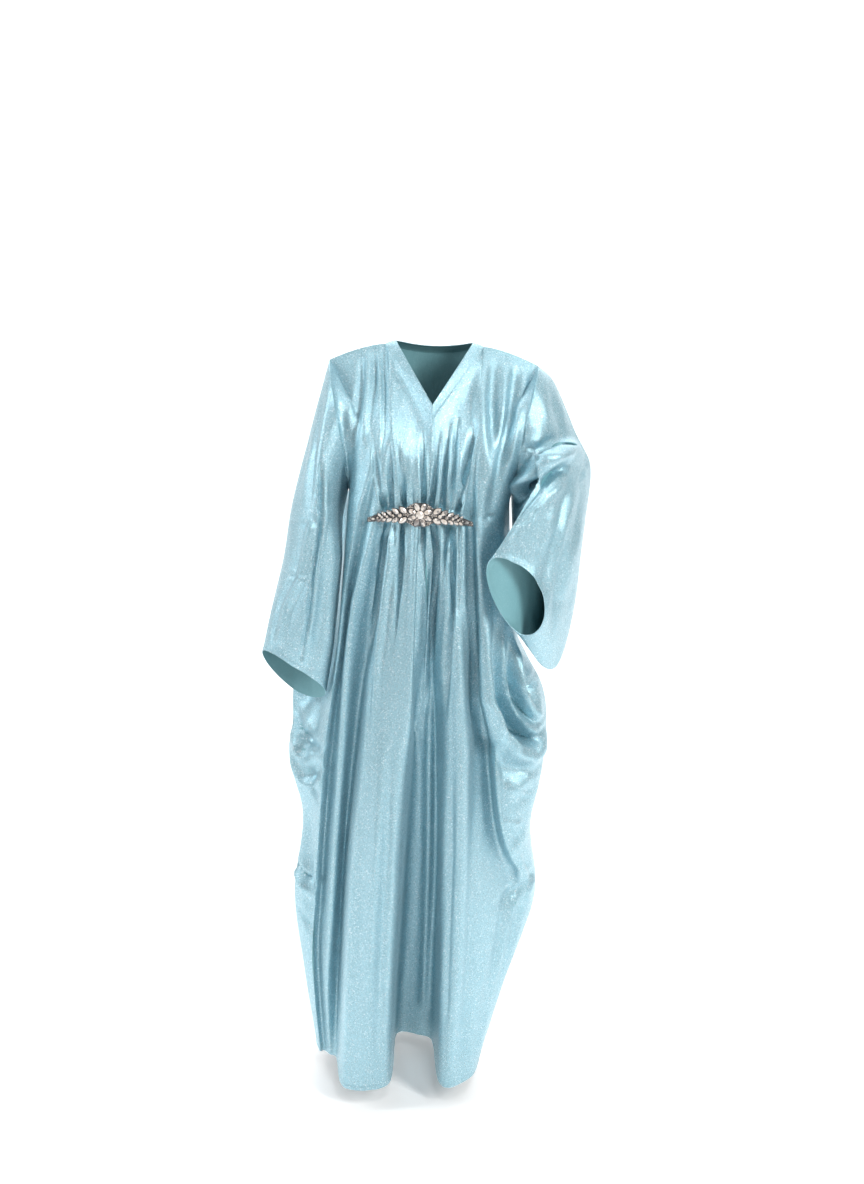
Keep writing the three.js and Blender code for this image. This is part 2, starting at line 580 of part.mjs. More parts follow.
// A cut stone: an outline of a few sides, bevelled up to a smaller flat table
function stoneGeometry(arc, { x, rise, length, width, angle, sides, height }) {
  const step = 0.5;
  const slope = (arc(x + step) - arc(x - step)) / (2 * step);
  const across = unit([1, slope, 0]);
  const outward = unit([slope, -1, 0]);
  const seat = add([x, arc(x), spineZ(x) + rise], outward, APPLIQUE.backing - STONE.sunk);
  const pointed = sides === 6;
  const outline = (scale, lift) => {
    const ring = [];
    for (let i = 0; i < sides; i += 1) {
      const turn = (i / sides) * Math.PI * 2;
      const pinch = pointed ? STONE.pinch : 1;
      const a = Math.cos(turn) * length / 2 * scale;
      const b = Math.sin(turn) * width / 2 * scale * pinch;
      const right = a * Math.cos(angle) - b * Math.sin(angle);
      const up = a * Math.sin(angle) + b * Math.cos(angle);
      ring.push(add(add(add(seat, across, right), [0, 0, 1], up), outward, lift));
    }
    return ring;
  };
  const positions = [...outline(1, 0), ...outline(STONE.bevel, STONE.sunk + height)];
  const triangles = [];
  for (let i = 0; i < sides; i += 1) {
    const next = (i + 1) % sides;
    triangles.push(i, next, next + sides, i, next + sides, i + sides);
  }
  for (let i = 1; i < sides - 1; i += 1) {
    triangles.push(0, i + 1, i, sides, sides + i, sides + i + 1);
  }
  const geometry = new THREE.BufferGeometry();
  geometry.setAttribute('position', new THREE.Float32BufferAttribute(positions.flat(), 3));
  geometry.setIndex(triangles);
  return geometry;
}

function stoneList() {
  const stones = [];
  const bead = (x, rise, radius, height) => stones.push({ x, rise, length: radius * 2,
    width: radius * 2, angle: 0, sides: 8, height });
  const leaf = (x, rise, length, width, angle) => stones.push({ x, rise, length, width, angle,
    sides: 6, height: STONE.height });
  bead(APPLIQUE.centre, 0, ROSETTE.stoneRadius, STONE.height * 1.5);
  for (let i = 0; i < ROSETTE.petals; i += 1) {
    const turn = (i + 0.5) * 2 * Math.PI / ROSETTE.petals;
    leaf(APPLIQUE.centre + Math.cos(turn) * ROSETTE.petalRing, Math.sin(turn) * ROSETTE.petalRing,
      ROSETTE.petalLength, ROSETTE.petalWidth, turn);
  }
  for (const side of [-1, 1]) {
    let scale = 1;
    let reach = SPRAY.start;
    for (let i = 0; i < SPRAY.steps; i += 1) {
      const x = APPLIQUE.centre + side * reach;
      const lean = side > 0 ? 0 : Math.PI;
      for (const rise of [-1, 1]) {
        leaf(x, rise * SPRAY.leafRise * scale, SPRAY.leafLength * scale, SPRAY.leafWidth * scale,
          lean + side * rise * SPRAY.leafAngle);
      }
      bead(x + side * SPRAY.pitch * scale * SPRAY.beadShare, 0, SPRAY.beadRadius * scale, STONE.height);
      reach += SPRAY.pitch * scale;
      scale *= SPRAY.shrink;
    }
    const tip = APPLIQUE.centre + side * (reach + SPRAY.endGap);
    leaf(tip, 0, SPRAY.leafLength * scale, SPRAY.leafWidth * scale, 0);
  }
  return stones;
}

// Joins closed meshes into one body
const wasm = await Module();
wasm.setup();

function toSolid(geometry) {
  const merged = mergeVertices(geometry, 1e-4);
  const mesh = new wasm.Mesh({ numProp: 3, vertProperties: new Float32Array(merged.attributes.position.array),
    triVerts: new Uint32Array(merged.index.array) });
  return new wasm.Manifold(mesh);
}

function toGeometry(solid) {
  const mesh = solid.getMesh();
  const geometry = new THREE.BufferGeometry();
  geometry.setAttribute('position', new THREE.BufferAttribute(new Float32Array(mesh.vertProperties), 3));
  geometry.setIndex(new THREE.BufferAttribute(new Uint32Array(mesh.triVerts), 1));
  return geometry;
}

function appliqueGeometry() {
  const arc = appliqueArc();
  let solid = toSolid(backingGeometry(arc));
  for (const stone of stoneList()) solid = solid.add(toSolid(stoneGeometry(arc, stone)));
  return toGeometry(solid);
}

// Materials and the finished garment
const satin = () => new THREE.MeshStandardMaterial({ color: 0xa9d3de, roughness: 0.38, metalness: 0.15 });
const crystal = () => new THREE.MeshStandardMaterial({ color: 0xd9d6d2, roughness: 0.12, metalness: 0.85 });

const garment = new THREE.Group();
function addPiece(name, geometry, material) {
  geometry.computeVertexNormals();
  const mesh = new THREE.Mesh(geometry, material);
  mesh.name = name;
  garment.add(mesh);
}

addPiece('front_panel', panelGeometry('front'), satin());
addPiece('back_panel', panelGeometry('back'), satin());
addPiece('sleeve_right', sleeveGeometry(SLEEVE_RIGHT, -1), satin());
addPiece('sleeve_left', sleeveGeometry(SLEEVE_LEFT, 1), satin());
addPiece('neckband', neckbandGeometry(), satin());
addPiece('waist_applique', appliqueGeometry(), crystal());

export default garment;
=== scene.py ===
# %% [markdown]
# # A butterfly-cut abaya in ice-blue satin
# An abaya is a long, closed overgarment. This one is cut very wide: a front and a back panel fall from
# the shoulders, the front is gathered at a raised waist under a stone applique, and the extra width at
# both sides hangs as wings. The measured solids of the same garment are loaded first. They stay where
# they are, and each piece of cloth made here stands for one of them.

import math

import bpy
import numpy as np
from mathutils import Matrix, Vector, noise


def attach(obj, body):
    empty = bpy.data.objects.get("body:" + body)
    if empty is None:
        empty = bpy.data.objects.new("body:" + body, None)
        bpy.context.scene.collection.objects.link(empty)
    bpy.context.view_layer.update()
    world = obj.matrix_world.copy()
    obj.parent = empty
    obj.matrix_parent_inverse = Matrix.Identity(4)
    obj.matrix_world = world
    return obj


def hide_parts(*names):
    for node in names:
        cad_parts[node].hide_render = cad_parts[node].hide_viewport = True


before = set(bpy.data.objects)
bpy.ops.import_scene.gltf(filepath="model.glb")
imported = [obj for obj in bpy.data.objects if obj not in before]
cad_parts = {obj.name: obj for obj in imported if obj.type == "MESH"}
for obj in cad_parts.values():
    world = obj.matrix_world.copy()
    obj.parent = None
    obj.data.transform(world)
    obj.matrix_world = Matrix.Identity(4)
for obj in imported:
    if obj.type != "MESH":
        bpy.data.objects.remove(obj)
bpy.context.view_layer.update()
print("solids:", ", ".join(sorted(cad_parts)))

# %% Helpers for objects and materials
def add_object(name, data):
    """Object with the given data, linked into the scene."""
    item = bpy.data.objects.new(name, data)
    bpy.context.scene.collection.objects.link(item)
    return item


def new_material(name, values):
    """Material with values for its shader's own sockets. Gives the material, its tree and its shader."""
    material = bpy.data.materials.new(name)
    material.use_nodes = True
    shader = material.node_tree.nodes["Principled BSDF"]
    for key, value in values.items():
        shader.inputs[key].default_value = value
    return material, material.node_tree, shader


print("helpers for objects and materials ready")

# %% [markdown]
# ## The view
# The garment is seen from a little above its shoulders, looking slightly down, and the camera is turned
# a touch so that upright things lean. A camera object takes its turn from three axes: right, up and
# backwards. Writing them out is clearer here than stacking rotations.

# %% Camera at the height of the shoulders, tilted down and rolled a little
EYE = (0.0095, -2.14, 0.056)
TILT_DOWN = math.radians(13.7)
ROLL = math.radians(1.8)
FOCAL_LENGTH = 35.0
FILM_WIDTH = 36.0

camera_data = bpy.data.cameras.new("camera")
camera_data.lens = FOCAL_LENGTH
camera_data.sensor_width = FILM_WIDTH
camera = add_object("camera", camera_data)
forward = Vector((0, math.cos(TILT_DOWN), -math.sin(TILT_DOWN)))
level_right = Vector((1, 0, 0))
level_up = level_right.cross(forward)
right = level_right * math.cos(ROLL) + level_up * math.sin(ROLL)
up = level_up * math.cos(ROLL) - level_right * math.sin(ROLL)
turn = Matrix((right, up, -forward)).transposed().to_4x4()
camera.matrix_world = Matrix.Translation(EYE) @ turn
bpy.context.scene.camera = camera
print("camera at", EYE)

# %% [markdown]
# ## Floor, backdrop and light
# Satin shows what it reflects, so its light is as much a part of the look as its colour. A white sweep
# curves up behind the garment and glows a little, so that it stays white in the picture. A tall lamp in
# front on the right and a narrow one on the left draw bright streaks on the crests of the folds. A small
# one high in front lights the chest, a wide one overhead and one at the wall light the sweep, and a dim
# sky keeps the hollows dark. The plain view transform keeps the blue as strong as the lamps make it.

# %% A pale sweep: floor, curve and wall in one sheet
FLOOR_Z = -1.49
PAPER_GLOW = 0.22
SWEEP = {"half_width": 9.0, "front_y": -7.0, "wall_y": 3.6, "radius": 1.2, "height": 5.0, "steps": 12}


def sweep_profile():
    """Side outline of the sweep, from the front of the floor to the top of the wall."""
    line = [(SWEEP["front_y"], FLOOR_Z)]
    for step in range(SWEEP["steps"] + 1):
        angle = math.pi / 2 * step / SWEEP["steps"]
        y = SWEEP["wall_y"] - SWEEP["radius"] * (1 - math.sin(angle))
        z = FLOOR_Z + SWEEP["radius"] * (1 - math.cos(angle))
        line.append((y, z))
    line.append((SWEEP["wall_y"], FLOOR_Z + SWEEP["height"]))
    return line


profile = sweep_profile()
sweep_mesh = bpy.data.meshes.new("sweep")
sweep_points = [(side * SWEEP["half_width"], y, z) for y, z in profile for side in (-1, 1)]
sweep_faces = [(2 * i, 2 * i + 1, 2 * i + 3, 2 * i + 2) for i in range(len(profile) - 1)]
sweep_mesh.from_pydata(sweep_points, [], sweep_faces)
for polygon in sweep_mesh.polygons:
    polygon.use_smooth = True
sweep = add_object("sweep", sweep_mesh)
paper = new_material("paper", {
    "Base Color": (0.93, 0.935, 0.94, 1), "Roughness": 0.9,
    "Emission Color": (1, 1, 1, 1), "Emission Strength": PAPER_GLOW})[0]
sweep_mesh.materials.append(paper)
print("sweep:", len(sweep_faces), "faces")

# %% Lamps and sky
LAMPS = [
    # name, place, aim, width, height, watts, colour
    ("key lamp", (2.3, -2.1, 1.3), (0.0, 0.0, -0.6), 0.7, 1.6, 90.0, (1.0, 0.99, 0.97)),
    ("chest lamp", (0.5, -2.3, 2.3), (0.0, 0.0, -0.3), 0.6, 0.6, 29.0, (1.0, 1.0, 1.0)),
    ("side lamp", (-2.7, -0.7, 0.7), (0.0, 0.0, -0.5), 0.5, 1.8, 46.0, (0.97, 0.99, 1.0)),
    ("overhead", (0.0, 1.6, 4.2), (0.0, 1.6, 0.0), 7.0, 4.0, 90.0, (1.0, 1.0, 1.0)),
    ("wall lamp", (0.0, 1.9, 3.0), (0.0, 3.6, -0.4), 5.0, 0.8, 125.0, (1.0, 1.0, 1.0)),
]
SKY = {"Color": (0.95, 0.97, 1.0, 1), "Strength": 0.14}


def add_lamp(name, place, aim, width, height, watts, colour):
    """A soft rectangular lamp turned to its aim."""
    data = bpy.data.lights.new(name, "AREA")
    data.shape = "RECTANGLE"
    data.size = width
    data.size_y = height
    data.energy = watts
    data.color = colour
    lamp = add_object(name, data)
    lamp.location = place
    lamp.rotation_euler = (Vector(aim) - Vector(place)).to_track_quat("-Z", "Y").to_euler()


for row in LAMPS:
    add_lamp(*row)
sky = bpy.data.worlds.new("sky")
sky.use_nodes = True
for key, value in SKY.items():
    sky.node_tree.nodes["Background"].inputs[key].default_value = value
bpy.context.scene.world = sky
bpy.context.scene.view_settings.view_transform = "Standard"
print("lamps:", len(LAMPS))

# %% [markdown]
# ## How the cloth's shape is described
# Worn cloth hangs from a few places and falls in long folds. Each panel is described by its folds: one
# row for each crest or valley, with the place of that line at ten heights from the chest to the hem.
# A smooth curve through neighbouring folds gives a ring of cloth at one height, and a smooth curve down
# each line gives the fall between heights. A simulation could drape the panel too, but it wouldn't
# land on the folds that this garment shows.

# %% Sizes, in millimetres
CLOTH = 1.2
SEAM = 0.3
LENGTH = 1440
WAIST_DROP = 303
CHEST_SHARE = 0.55
SHOULDER = {"neck_half": 90, "neck_z": -4, "tip_x": 190, "tip_z": -35, "slope_power": 1.5}
ARMHOLE = {"bottom_x": 152, "flare": 38, "flare_power": 1.6, "mid_z": -150, "half_height": 115,
           "front_depth": 98, "back_depth": 85, "bottom_y": 5}
NECK_SEAM = {"half": 90, "top_z": -4, "front_drop": 126, "front_y": -106, "back_drop": 16, "back_y": 62}
NECK_EDGE = {"half": 70, "top_z": 3, "front_drop": 107, "front_y": -101, "back_drop": 9, "back_y": 49}
NECK_LEAN = 0.75
STATION_Z = [-WAIST_DROP, -440, -560, -640, -770, -920, -1085, -1260, -LENGTH]
CURVE_TENSION = 0.42
print("heights of the fold table:", STATION_Z)

# %% Fold table of the front, from the wearer's right to the left: (x, y) at the ten heights
# Both panels share the two side seams.
SIDE_RIGHT = [(-150, 12), (-153, 24), (-176, 44), (-212, 48), (-252, 34), (-254, 12), (-226, 5),
              (-240, 5), (-222, 10), (-198, 12)]
SIDE_LEFT = [(150, 7), (151, 8), (162, 14), (182, 12), (228, -8), (241, -8), (221, -4), (236, 20),
             (187, 25), (136, 25)]
FRONT_FOLDS = [
    SIDE_RIGHT,
    # right wing, outer crest
    [(-147, -46), (-150, -30), (-163, -2), (-173, 0), (-196, 10), (-259, -22), (-232, -30), (-248, -32),
     (-228, -30), (-202, -20)],
    # right wing, trough
    [(-142, -86), (-148, -84), (-157, -82), (-166, -80), (-177, -78), (-207, -70), (-210, -62),
     (-223, -60), (-217, -52), (-197, -38)],
    # right wing, front edge
    [(-110, -113), (-129, -110), (-149, -108), (-160, -107), (-170, -105), (-186, -99), (-194, -90),
     (-203, -80), (-205, -68), (-192, -50)],
    # right wing, valley
    [(-98, -112), (-116, -98), (-138, -88), (-150, -86), (-159, -82), (-172, -76), (-183, -70),
     (-192, -63), (-195, -56), (-184, -46)],
    # skirt crest, right
    [(-86, -114), (-96, -114), (-128, -114), (-141, -112), (-146, -110), (-152, -106), (-160, -101),
     (-167, -95), (-175, -84), (-172, -58)],
    # skirt trough, right
    [(-74, -115), (-78, -104), (-93, -95), (-106, -88), (-118, -82), (-131, -78), (-142, -74),
     (-150, -70), (-155, -66), (-156, -70)],
    # right column, outer
    [(-60, -116), (-62, -119), (-79, -126), (-92, -130), (-97, -133), (-107, -138), (-122, -142),
     (-131, -147), (-135, -153), (-137, -157)],
    # right column, middle
    [(-36, -117), (-28, -124), (-29, -138), (-32, -144), (-37, -147), (-49, -152), (-63, -157),
     (-75, -161), (-85, -165), (-88, -168)],
    # right column, inner
    [(-20, -117), (-15, -122), (-11, -128), (-12, -132), (-17, -134), (-27, -137), (-33, -138),
     (-38, -138), (-42, -138), (-43, -136)],
    # recess, right wall
    [(-9, -117), (-7, -112), (-3, -104), (-3, -95), (-6, -84), (-13, -64), (-18, -42), (-24, -20),
     (-31, 2), (-36, 18)],
    # recess, back
    [(0, -117), (0, -115), (6, -106), (9, -96), (11, -82), (14, -62), (17, -40), (18, -18), (15, 4),
     (12, 16)],
    # recess, left wall
    [(10, -117), (8, -112), (14, -104), (18, -95), (22, -82), (29, -64), (35, -46), (38, -28), (39, -12),
     (40, -4)],
    # left column, inner
    [(24, -117), (20, -121), (28, -124), (32, -126), (36, -126), (40, -126), (43, -126), (46, -126),
     (49, -127), (52, -128)],
    # left column, crest
    [(52, -116), (58, -124), (60, -136), (62, -142), (65, -146), (73, -150), (77, -153), (78, -154),
     (77, -154), (76, -152)],
    # left wing, valley
    [(76, -114), (76, -106), (86, -102), (97, -98), (106, -94), (123, -90), (144, -86), (184, -76),
     (152, -96), (118, -116)],
    # left wing, front edge
    [(92, -113), (88, -122), (99, -125), (110, -127), (120, -129), (139, -129), (164, -120), (221, -44),
     (176, -64), (132, -80)],
    # left wing, trough
    [(120, -106), (114, -106), (128, -108), (146, -110), (160, -108), (190, -104), (198, -94), (234, -22),
     (186, -30), (138, -40)],
    # left wing, outer crest
    [(143, -90), (134, -80), (152, -82), (174, -82), (208, -84), (228, -76), (214, -62), (238, -2),
     (189, 0), (139, -8)],
    SIDE_LEFT,
]
# Folds where the top edge turns: from armhole to shoulder, to neck, to its middle, and back again
FRONT_CORNERS = [0, 3, 7, 11, 15, 17, 19]
print("front folds:", len(FRONT_FOLDS))

# %% Fold table of the back, from the wearer's left to the right
BACK_FOLDS = [
    SIDE_LEFT,
    # left wing, back crest
    [(141, 62), (139, 58), (154, 60), (176, 56), (216, 36), (232, 34), (214, 40), (222, 60), (176, 66),
     (128, 68)],
    # left back trough
    [(134, 82), (126, 76), (134, 78), (146, 78), (164, 72), (178, 72), (182, 78), (184, 86), (156, 92),
     (120, 94)],
    # left blade crest
    [(98, 96), (92, 94), (102, 104), (112, 114), (124, 122), (138, 128), (142, 134), (142, 140),
     (130, 142), (104, 140)],
    # left groove
    [(56, 99), (54, 88), (60, 94), (66, 98), (72, 102), (80, 106), (84, 110), (86, 114), (80, 116),
     (66, 114)],
    # back centre crest
    [(4, 102), (6, 96), (10, 108), (12, 116), (12, 122), (10, 128), (6, 134), (4, 138), (0, 142),
     (-4, 140)],
    # right groove
    [(-50, 99), (-44, 88), (-48, 92), (-54, 96), (-60, 98), (-68, 102), (-76, 106), (-80, 110),
     (-84, 112), (-82, 110)],
    # right blade crest
    [(-94, 97), (-88, 95), (-100, 106), (-112, 116), (-122, 122), (-134, 126), (-142, 130), (-148, 134),
     (-150, 134), (-144, 130)],
    # right back trough
    [(-132, 84), (-126, 78), (-140, 84), (-158, 84), (-176, 78), (-186, 70), (-186, 70), (-192, 72),
     (-188, 74), (-172, 74)],
    # right wing, back crest
    [(-141, 64), (-164, 68), (-186, 78), (-206, 78), (-232, 70), (-240, 50), (-220, 42), (-232, 42),
     (-216, 46), (-192, 48)],
    SIDE_RIGHT,
]
BACK_CORNERS = [0, 2, 4, 5, 6, 8, 10]
print("back folds:", len(BACK_FOLDS))

# %% Sleeve rings from armhole to cuff, each through four points: over, in front, under, behind
SLEEVE_RIGHT = [
    [(-190, 0, -35), (-164, -98, -150), (-152, 5, -265), (-164, 85, -150)],  # armhole
    [(-228, -4, -184), (-196, -112, -215), (-160, -34, -322), (-200, 50, -226)],  # upper arm
    [(-256, -15, -300), (-208, -120, -320), (-157, -72, -385), (-210, 8, -325)],  # above elbow
    [(-271, -25, -400), (-214, -122, -410), (-162, -74, -455), (-213, -6, -412)],  # elbow
    [(-291, -42, -495), (-228, -118, -505), (-170, -74, -550), (-227, -8, -520)],  # forearm
    [(-307, -60, -578), (-243, -106, -590), (-185, -75, -648), (-250, -22, -664)],  # cuff
]
SLEEVE_LEFT = [
    [(190, 0, -35), (164, -98, -150), (152, 5, -265), (164, 85, -150)],  # armhole
    [(222, 18, -64), (188, -102, -190), (161, 8, -354), (215, 95, -200)],  # upper arm
    [(263, 28, -152), (210, -82, -238), (192, 2, -456), (262, 88, -280)],  # above elbow
    [(290, 22, -205), (206, -110, -236), (244, 2, -530), (294, 55, -320)],  # elbow
    [(254, -76, -218), (190, -128, -264), (240, -40, -596), (284, -28, -400)],  # elbow roll
    [(227, -140, -303), (147, -155, -316), (210, -94, -570), (261, -74, -450)],  # forearm
    [(150, -168, -367), (105, -160, -395), (172, -150, -502), (210, -155, -440)],  # cuff
]
print("sleeve rings:", len(SLEEVE_RIGHT), "and", len(SLEEVE_LEFT))

# %% [markdown]
# ## Smooth curves
# Everything below is drawn with one kind of curve: a cubic that passes through its points and takes its
# slopes from the neighbours. It never overshoots far, which matters for cloth, because an overshoot
# would look like a fold that nobody sewed. Whole rows of points are worked out at once with numpy.

# %% Curve helpers
TINY = 1e-9


def between_values(start, end, share):
    """Value at a share of the way from start to end."""
    return start + (end - start) * share


def cubic(start, end, start_slope, end_slope, t):
    """Cubic from start to end with the given slopes, at t from 0 to 1."""
    t2, t3 = t * t, t * t * t
    return ((2 * t3 - 3 * t2 + 1) * start + (t3 - 2 * t2 + t) * start_slope
            + (3 * t2 - 2 * t3) * end + (t3 - t2) * end_slope)


def soft_step(t):
    """Rises from 0 to 1 with no corner at either end."""
    t = np.clip(t, 0, 1)
    return t * t * (3 - 2 * t)


def around(ring, u):
    """Values of a ring of folds at fold counts u. The ring has one more fold before and after."""
    span = np.clip(np.floor(u).astype(int), 0, len(ring) - 4)
    before, start, end, after = (ring[span + i] for i in range(4))
    t = (u - span)[:, None]
    return cubic(start, end, (end - before) * CURVE_TENSION, (after - start) * CURVE_TENSION, t)


def fall(places, values, z):
    """Curve down each column through values at its own heights. z has a row for each row of cloth."""
    gaps = np.diff(places, axis=1)
    between = np.diff(values, axis=1) / gaps[..., None]
    slopes = np.concatenate([between[:, :1], between[:, :1], between[:, 1:]], axis=1)[:, :values.shape[1]]
    above, below = np.abs(gaps[:, :-1, None]), np.abs(gaps[:, 1:, None])
    slopes[:, 1:-1] = (between[:, :-1] * below + between[:, 1:] * above) / (above + below)
    slopes[:, 0], slopes[:, -1] = between[:, 0], between[:, -1]
    span = (places[None, :, 1:-1] > z[:, :, None]).sum(axis=2)
    column = np.arange(z.shape[1])[None, :]
    top, width = places[column, span], gaps[column, span]
    t = ((z - top) / width)[..., None]
    width = width[..., None]
    return cubic(values[column, span], values[column, span + 1],
                 slopes[column, span] * width, slopes[column, span + 1] * width, t)


def unit(vectors):
    """The same directions with length 1."""
    return vectors / np.maximum(np.linalg.norm(vectors, axis=-1, keepdims=True), TINY)


def outward(grid, left=None, right=None):
    """Direction away from the body at each point of a grid, from its neighbours. left and right are
    the columns that the grid runs on into."""
    down = np.gradient(grid, axis=0)
    first = grid[:, :1] if left is None else left[:, None]
    last = grid[:, -1:] if right is None else right[:, None]
    padded = np.concatenate([first, grid, last], axis=1)
    return unit(np.cross(down, padded[:, 2:] - padded[:, :-2]))


print("curve at its middle:", cubic(0.0, 1.0, 1.0, 1.0, 0.5))

# %% [markdown]
# ## Top edges
# The upper edge of each panel turns four times: up the armhole, along the shoulder, round the neckline,
# and the same back again. Each stretch has its own short rule, from the sizes above.

# %% Edges at armhole, shoulder and neck
AT_END = 1e-3


def armhole_point(side, half, angle):
    """Point of the armhole seam. The angle runs from the armpit to the tip of the shoulder."""
    rise = (math.sin(angle) + 1) / 2
    depth = -ARMHOLE["front_depth"] if half == "front" else ARMHOLE["back_depth"]
    return np.array([side * (ARMHOLE["bottom_x"] + ARMHOLE["flare"] * rise ** ARMHOLE["flare_power"]),
                     depth * math.cos(angle) + ARMHOLE["bottom_y"] * (1 - rise),
                     ARMHOLE["mid_z"] + ARMHOLE["half_height"] * math.sin(angle)])


def shoulder_point(side, share):
    """Point of the shoulder seam, from its tip to the neck."""
    drop = 1 - (1 - share) ** SHOULDER["slope_power"]
    return np.array([side * between_values(SHOULDER["tip_x"], SHOULDER["neck_half"], share), 0,
                     between_values(SHOULDER["tip_z"], SHOULDER["neck_z"], drop)])


def neck_point(side, half, share, inset):
    """share runs from the shoulder to the middle, inset from the seam to the free edge of the band."""
    size = {key: between_values(NECK_SEAM[key], NECK_EDGE[key], inset) for key in NECK_SEAM}
    if half == "front":
        return np.array([side * size["half"] * (1 - share), size["front_y"] * share ** NECK_LEAN,
                         size["top_z"] - size["front_drop"] * share])
    angle = share * math.pi / 2
    return np.array([side * size["half"] * math.cos(angle), size["back_y"] * math.sin(angle),
                     size["top_z"] - size["back_drop"] * math.sin(angle) ** 2])


def top_edge(half, corners, u):
    """Point of a panel's top edge at fold count u. The last three stretches mirror the first three."""
    start_side = -1 if half == "front" else 1
    part = int(np.clip(sum(corner < u - AT_END for corner in corners), 1, 6)) - 1
    share = np.clip((u - corners[part]) / (corners[part + 1] - corners[part]), 0, 1)
    side = start_side if part < 3 else -start_side
    mirrored = share if part < 3 else 1 - share
    kind = part if part < 3 else 5 - part
    if kind == 0:
        return armhole_point(side, half, (mirrored - 0.5) * math.pi)
    if kind == 1:
        return shoulder_point(side, mirrored)
    return neck_point(side, half, mirrored, 0)


print("shoulder tip:", shoulder_point(1, 0), "front of neck:", neck_point(1, "front", 1, 0))

# %% [markdown]
# ## Panels
# A panel is a grid: its columns follow the folds and its rows follow the height. The gathers at the
# waist are short folds of their own, deepest where the stitching holds them.

# %% Panel grids
GATHERS = [
    # place across the front in folds, depth, reach above and below the waist
    (6.6, 4, 90, 40), (7.5, 9, 110, 150), (8.6, 4, 70, 50), (13.25, 8, 120, 90), (13.75, 8, 100, 190),
]
GATHER_HALF_WIDTH = 0.26


def gathered(u, z):
    """How far the waist gathers push the cloth in."""
    depth = np.zeros_like(z)
    for place, deep, above, below in GATHERS:
        across = np.abs(u[None, :] - place) / GATHER_HALF_WIDTH
        along = np.abs(z + WAIST_DROP) / np.where(z > -WAIST_DROP, above, below)
        depth += deep * np.clip(1 - across ** 2, 0, 1) * np.clip(1 - along ** 2, 0, 1)
    return depth


def panel_grid(half, u, heights):
    """Points of a panel at fold counts u and row heights: 0 to 1 down the bodice, then real heights."""
    folds, other = (FRONT_FOLDS, BACK_FOLDS) if half == "front" else (BACK_FOLDS, FRONT_FOLDS)
    corners = FRONT_CORNERS if half == "front" else BACK_CORNERS
    ring = np.array([other[-2]] + folds + [other[1]], float)
    tops = np.array([top_edge(half, corners, place) for place in u])
    chest_z = tops[:, 2] + (-WAIST_DROP - tops[:, 2]) * CHEST_SHARE
    values = [tops[:, :2]] + [around(ring[:, i], u) for i in range(ring.shape[1])]
    stations = np.repeat(np.array(STATION_Z, float)[None, :], len(u), axis=0)
    places = np.column_stack([tops[:, 2], chest_z, stations])
    level = np.array(heights)[:, None]
    bodice = tops[None, :, 2] + (-WAIST_DROP - tops[None, :, 2]) * level
    z = np.where(level >= 0, bodice, level + 0 * bodice)
    flat = fall(places, np.stack(values, axis=1), z)
    y = flat[..., 1] + (-SEAM / 2 + gathered(u, z) if half == "front" else SEAM / 2)
    return np.stack([flat[..., 0], y, z], axis=-1)


def spread_columns(spans):
    """Fold counts of the columns, from how many columns each span between two folds has."""
    return np.concatenate([[0]] + [span + np.arange(1, count + 1) / count
                                   for span, count in enumerate(spans)])


BODICE_ROWS = 54
SKIRT_BANDS = [
    # from, to, rows: closer together where the wings fold, and at the hem
    (-WAIST_DROP, -500, 34), (-500, -860, 70), (-860, -1070, 30), (-1070, -1428, 28), (-1428, -LENGTH, 5),
]
ROW_HEIGHTS = [i / BODICE_ROWS for i in range(BODICE_ROWS)]
for start, end, count in SKIRT_BANDS:
    ROW_HEIGHTS += [start + (end - start) * i / count for i in range(count)]
ROW_HEIGHTS.append(-LENGTH)
FRONT_COLUMNS = spread_columns([9, 8, 6, 7, 8, 9, 14, 17, 9, 7, 7, 7, 7, 15, 12, 9, 14, 14, 14])
BACK_COLUMNS = spread_columns([9, 10, 12, 14, 16, 16, 14, 12, 10, 9])
front_grid = panel_grid("front", FRONT_COLUMNS, ROW_HEIGHTS)
back_grid = panel_grid("back", BACK_COLUMNS, ROW_HEIGHTS)
print("front grid", front_grid.shape, "back grid", back_grid.shape)

# %% [markdown]
# ## Creases
# The tables give the large folds. The small ones are pressed in: each crease is a line on the
# garment as seen from the front or the back, a width, a lean that makes one side steeper, and a depth
# at each of its points. Real creases are never even, so they differ in length, width and depth. A
# negative depth is a ridge.

# %% Pressing creases into a grid
CREASE_DEPTH = 1.5
LIP = {"height": 0.3, "place": 2.1, "width": 0.9}
FACING_SOFTNESS = 0.35
EDGE_ROWS = 5
FINE_STREAKS = {"across": 2.3, "along": 2.1, "height": 0.45}
PANEL_STREAKS = {"across": 40.0, "along": 300.0, "height": 1.5}
SLEEVE_STREAKS = {"across": 34.0, "along": 150.0, "height": 1.4}


def faded_edges(grid, sides_open):
    """Strength of a change to a grid: none at its upper edge, nor at its sides unless they are open."""
    rows = soft_step(np.arange(grid.shape[0]) / EDGE_ROWS)[:, None]
    if sides_open:
        return rows
    from_side = np.minimum(np.arange(grid.shape[1]), np.arange(grid.shape[1])[::-1])
    return rows * soft_step(from_side / EDGE_ROWS)[None, :]


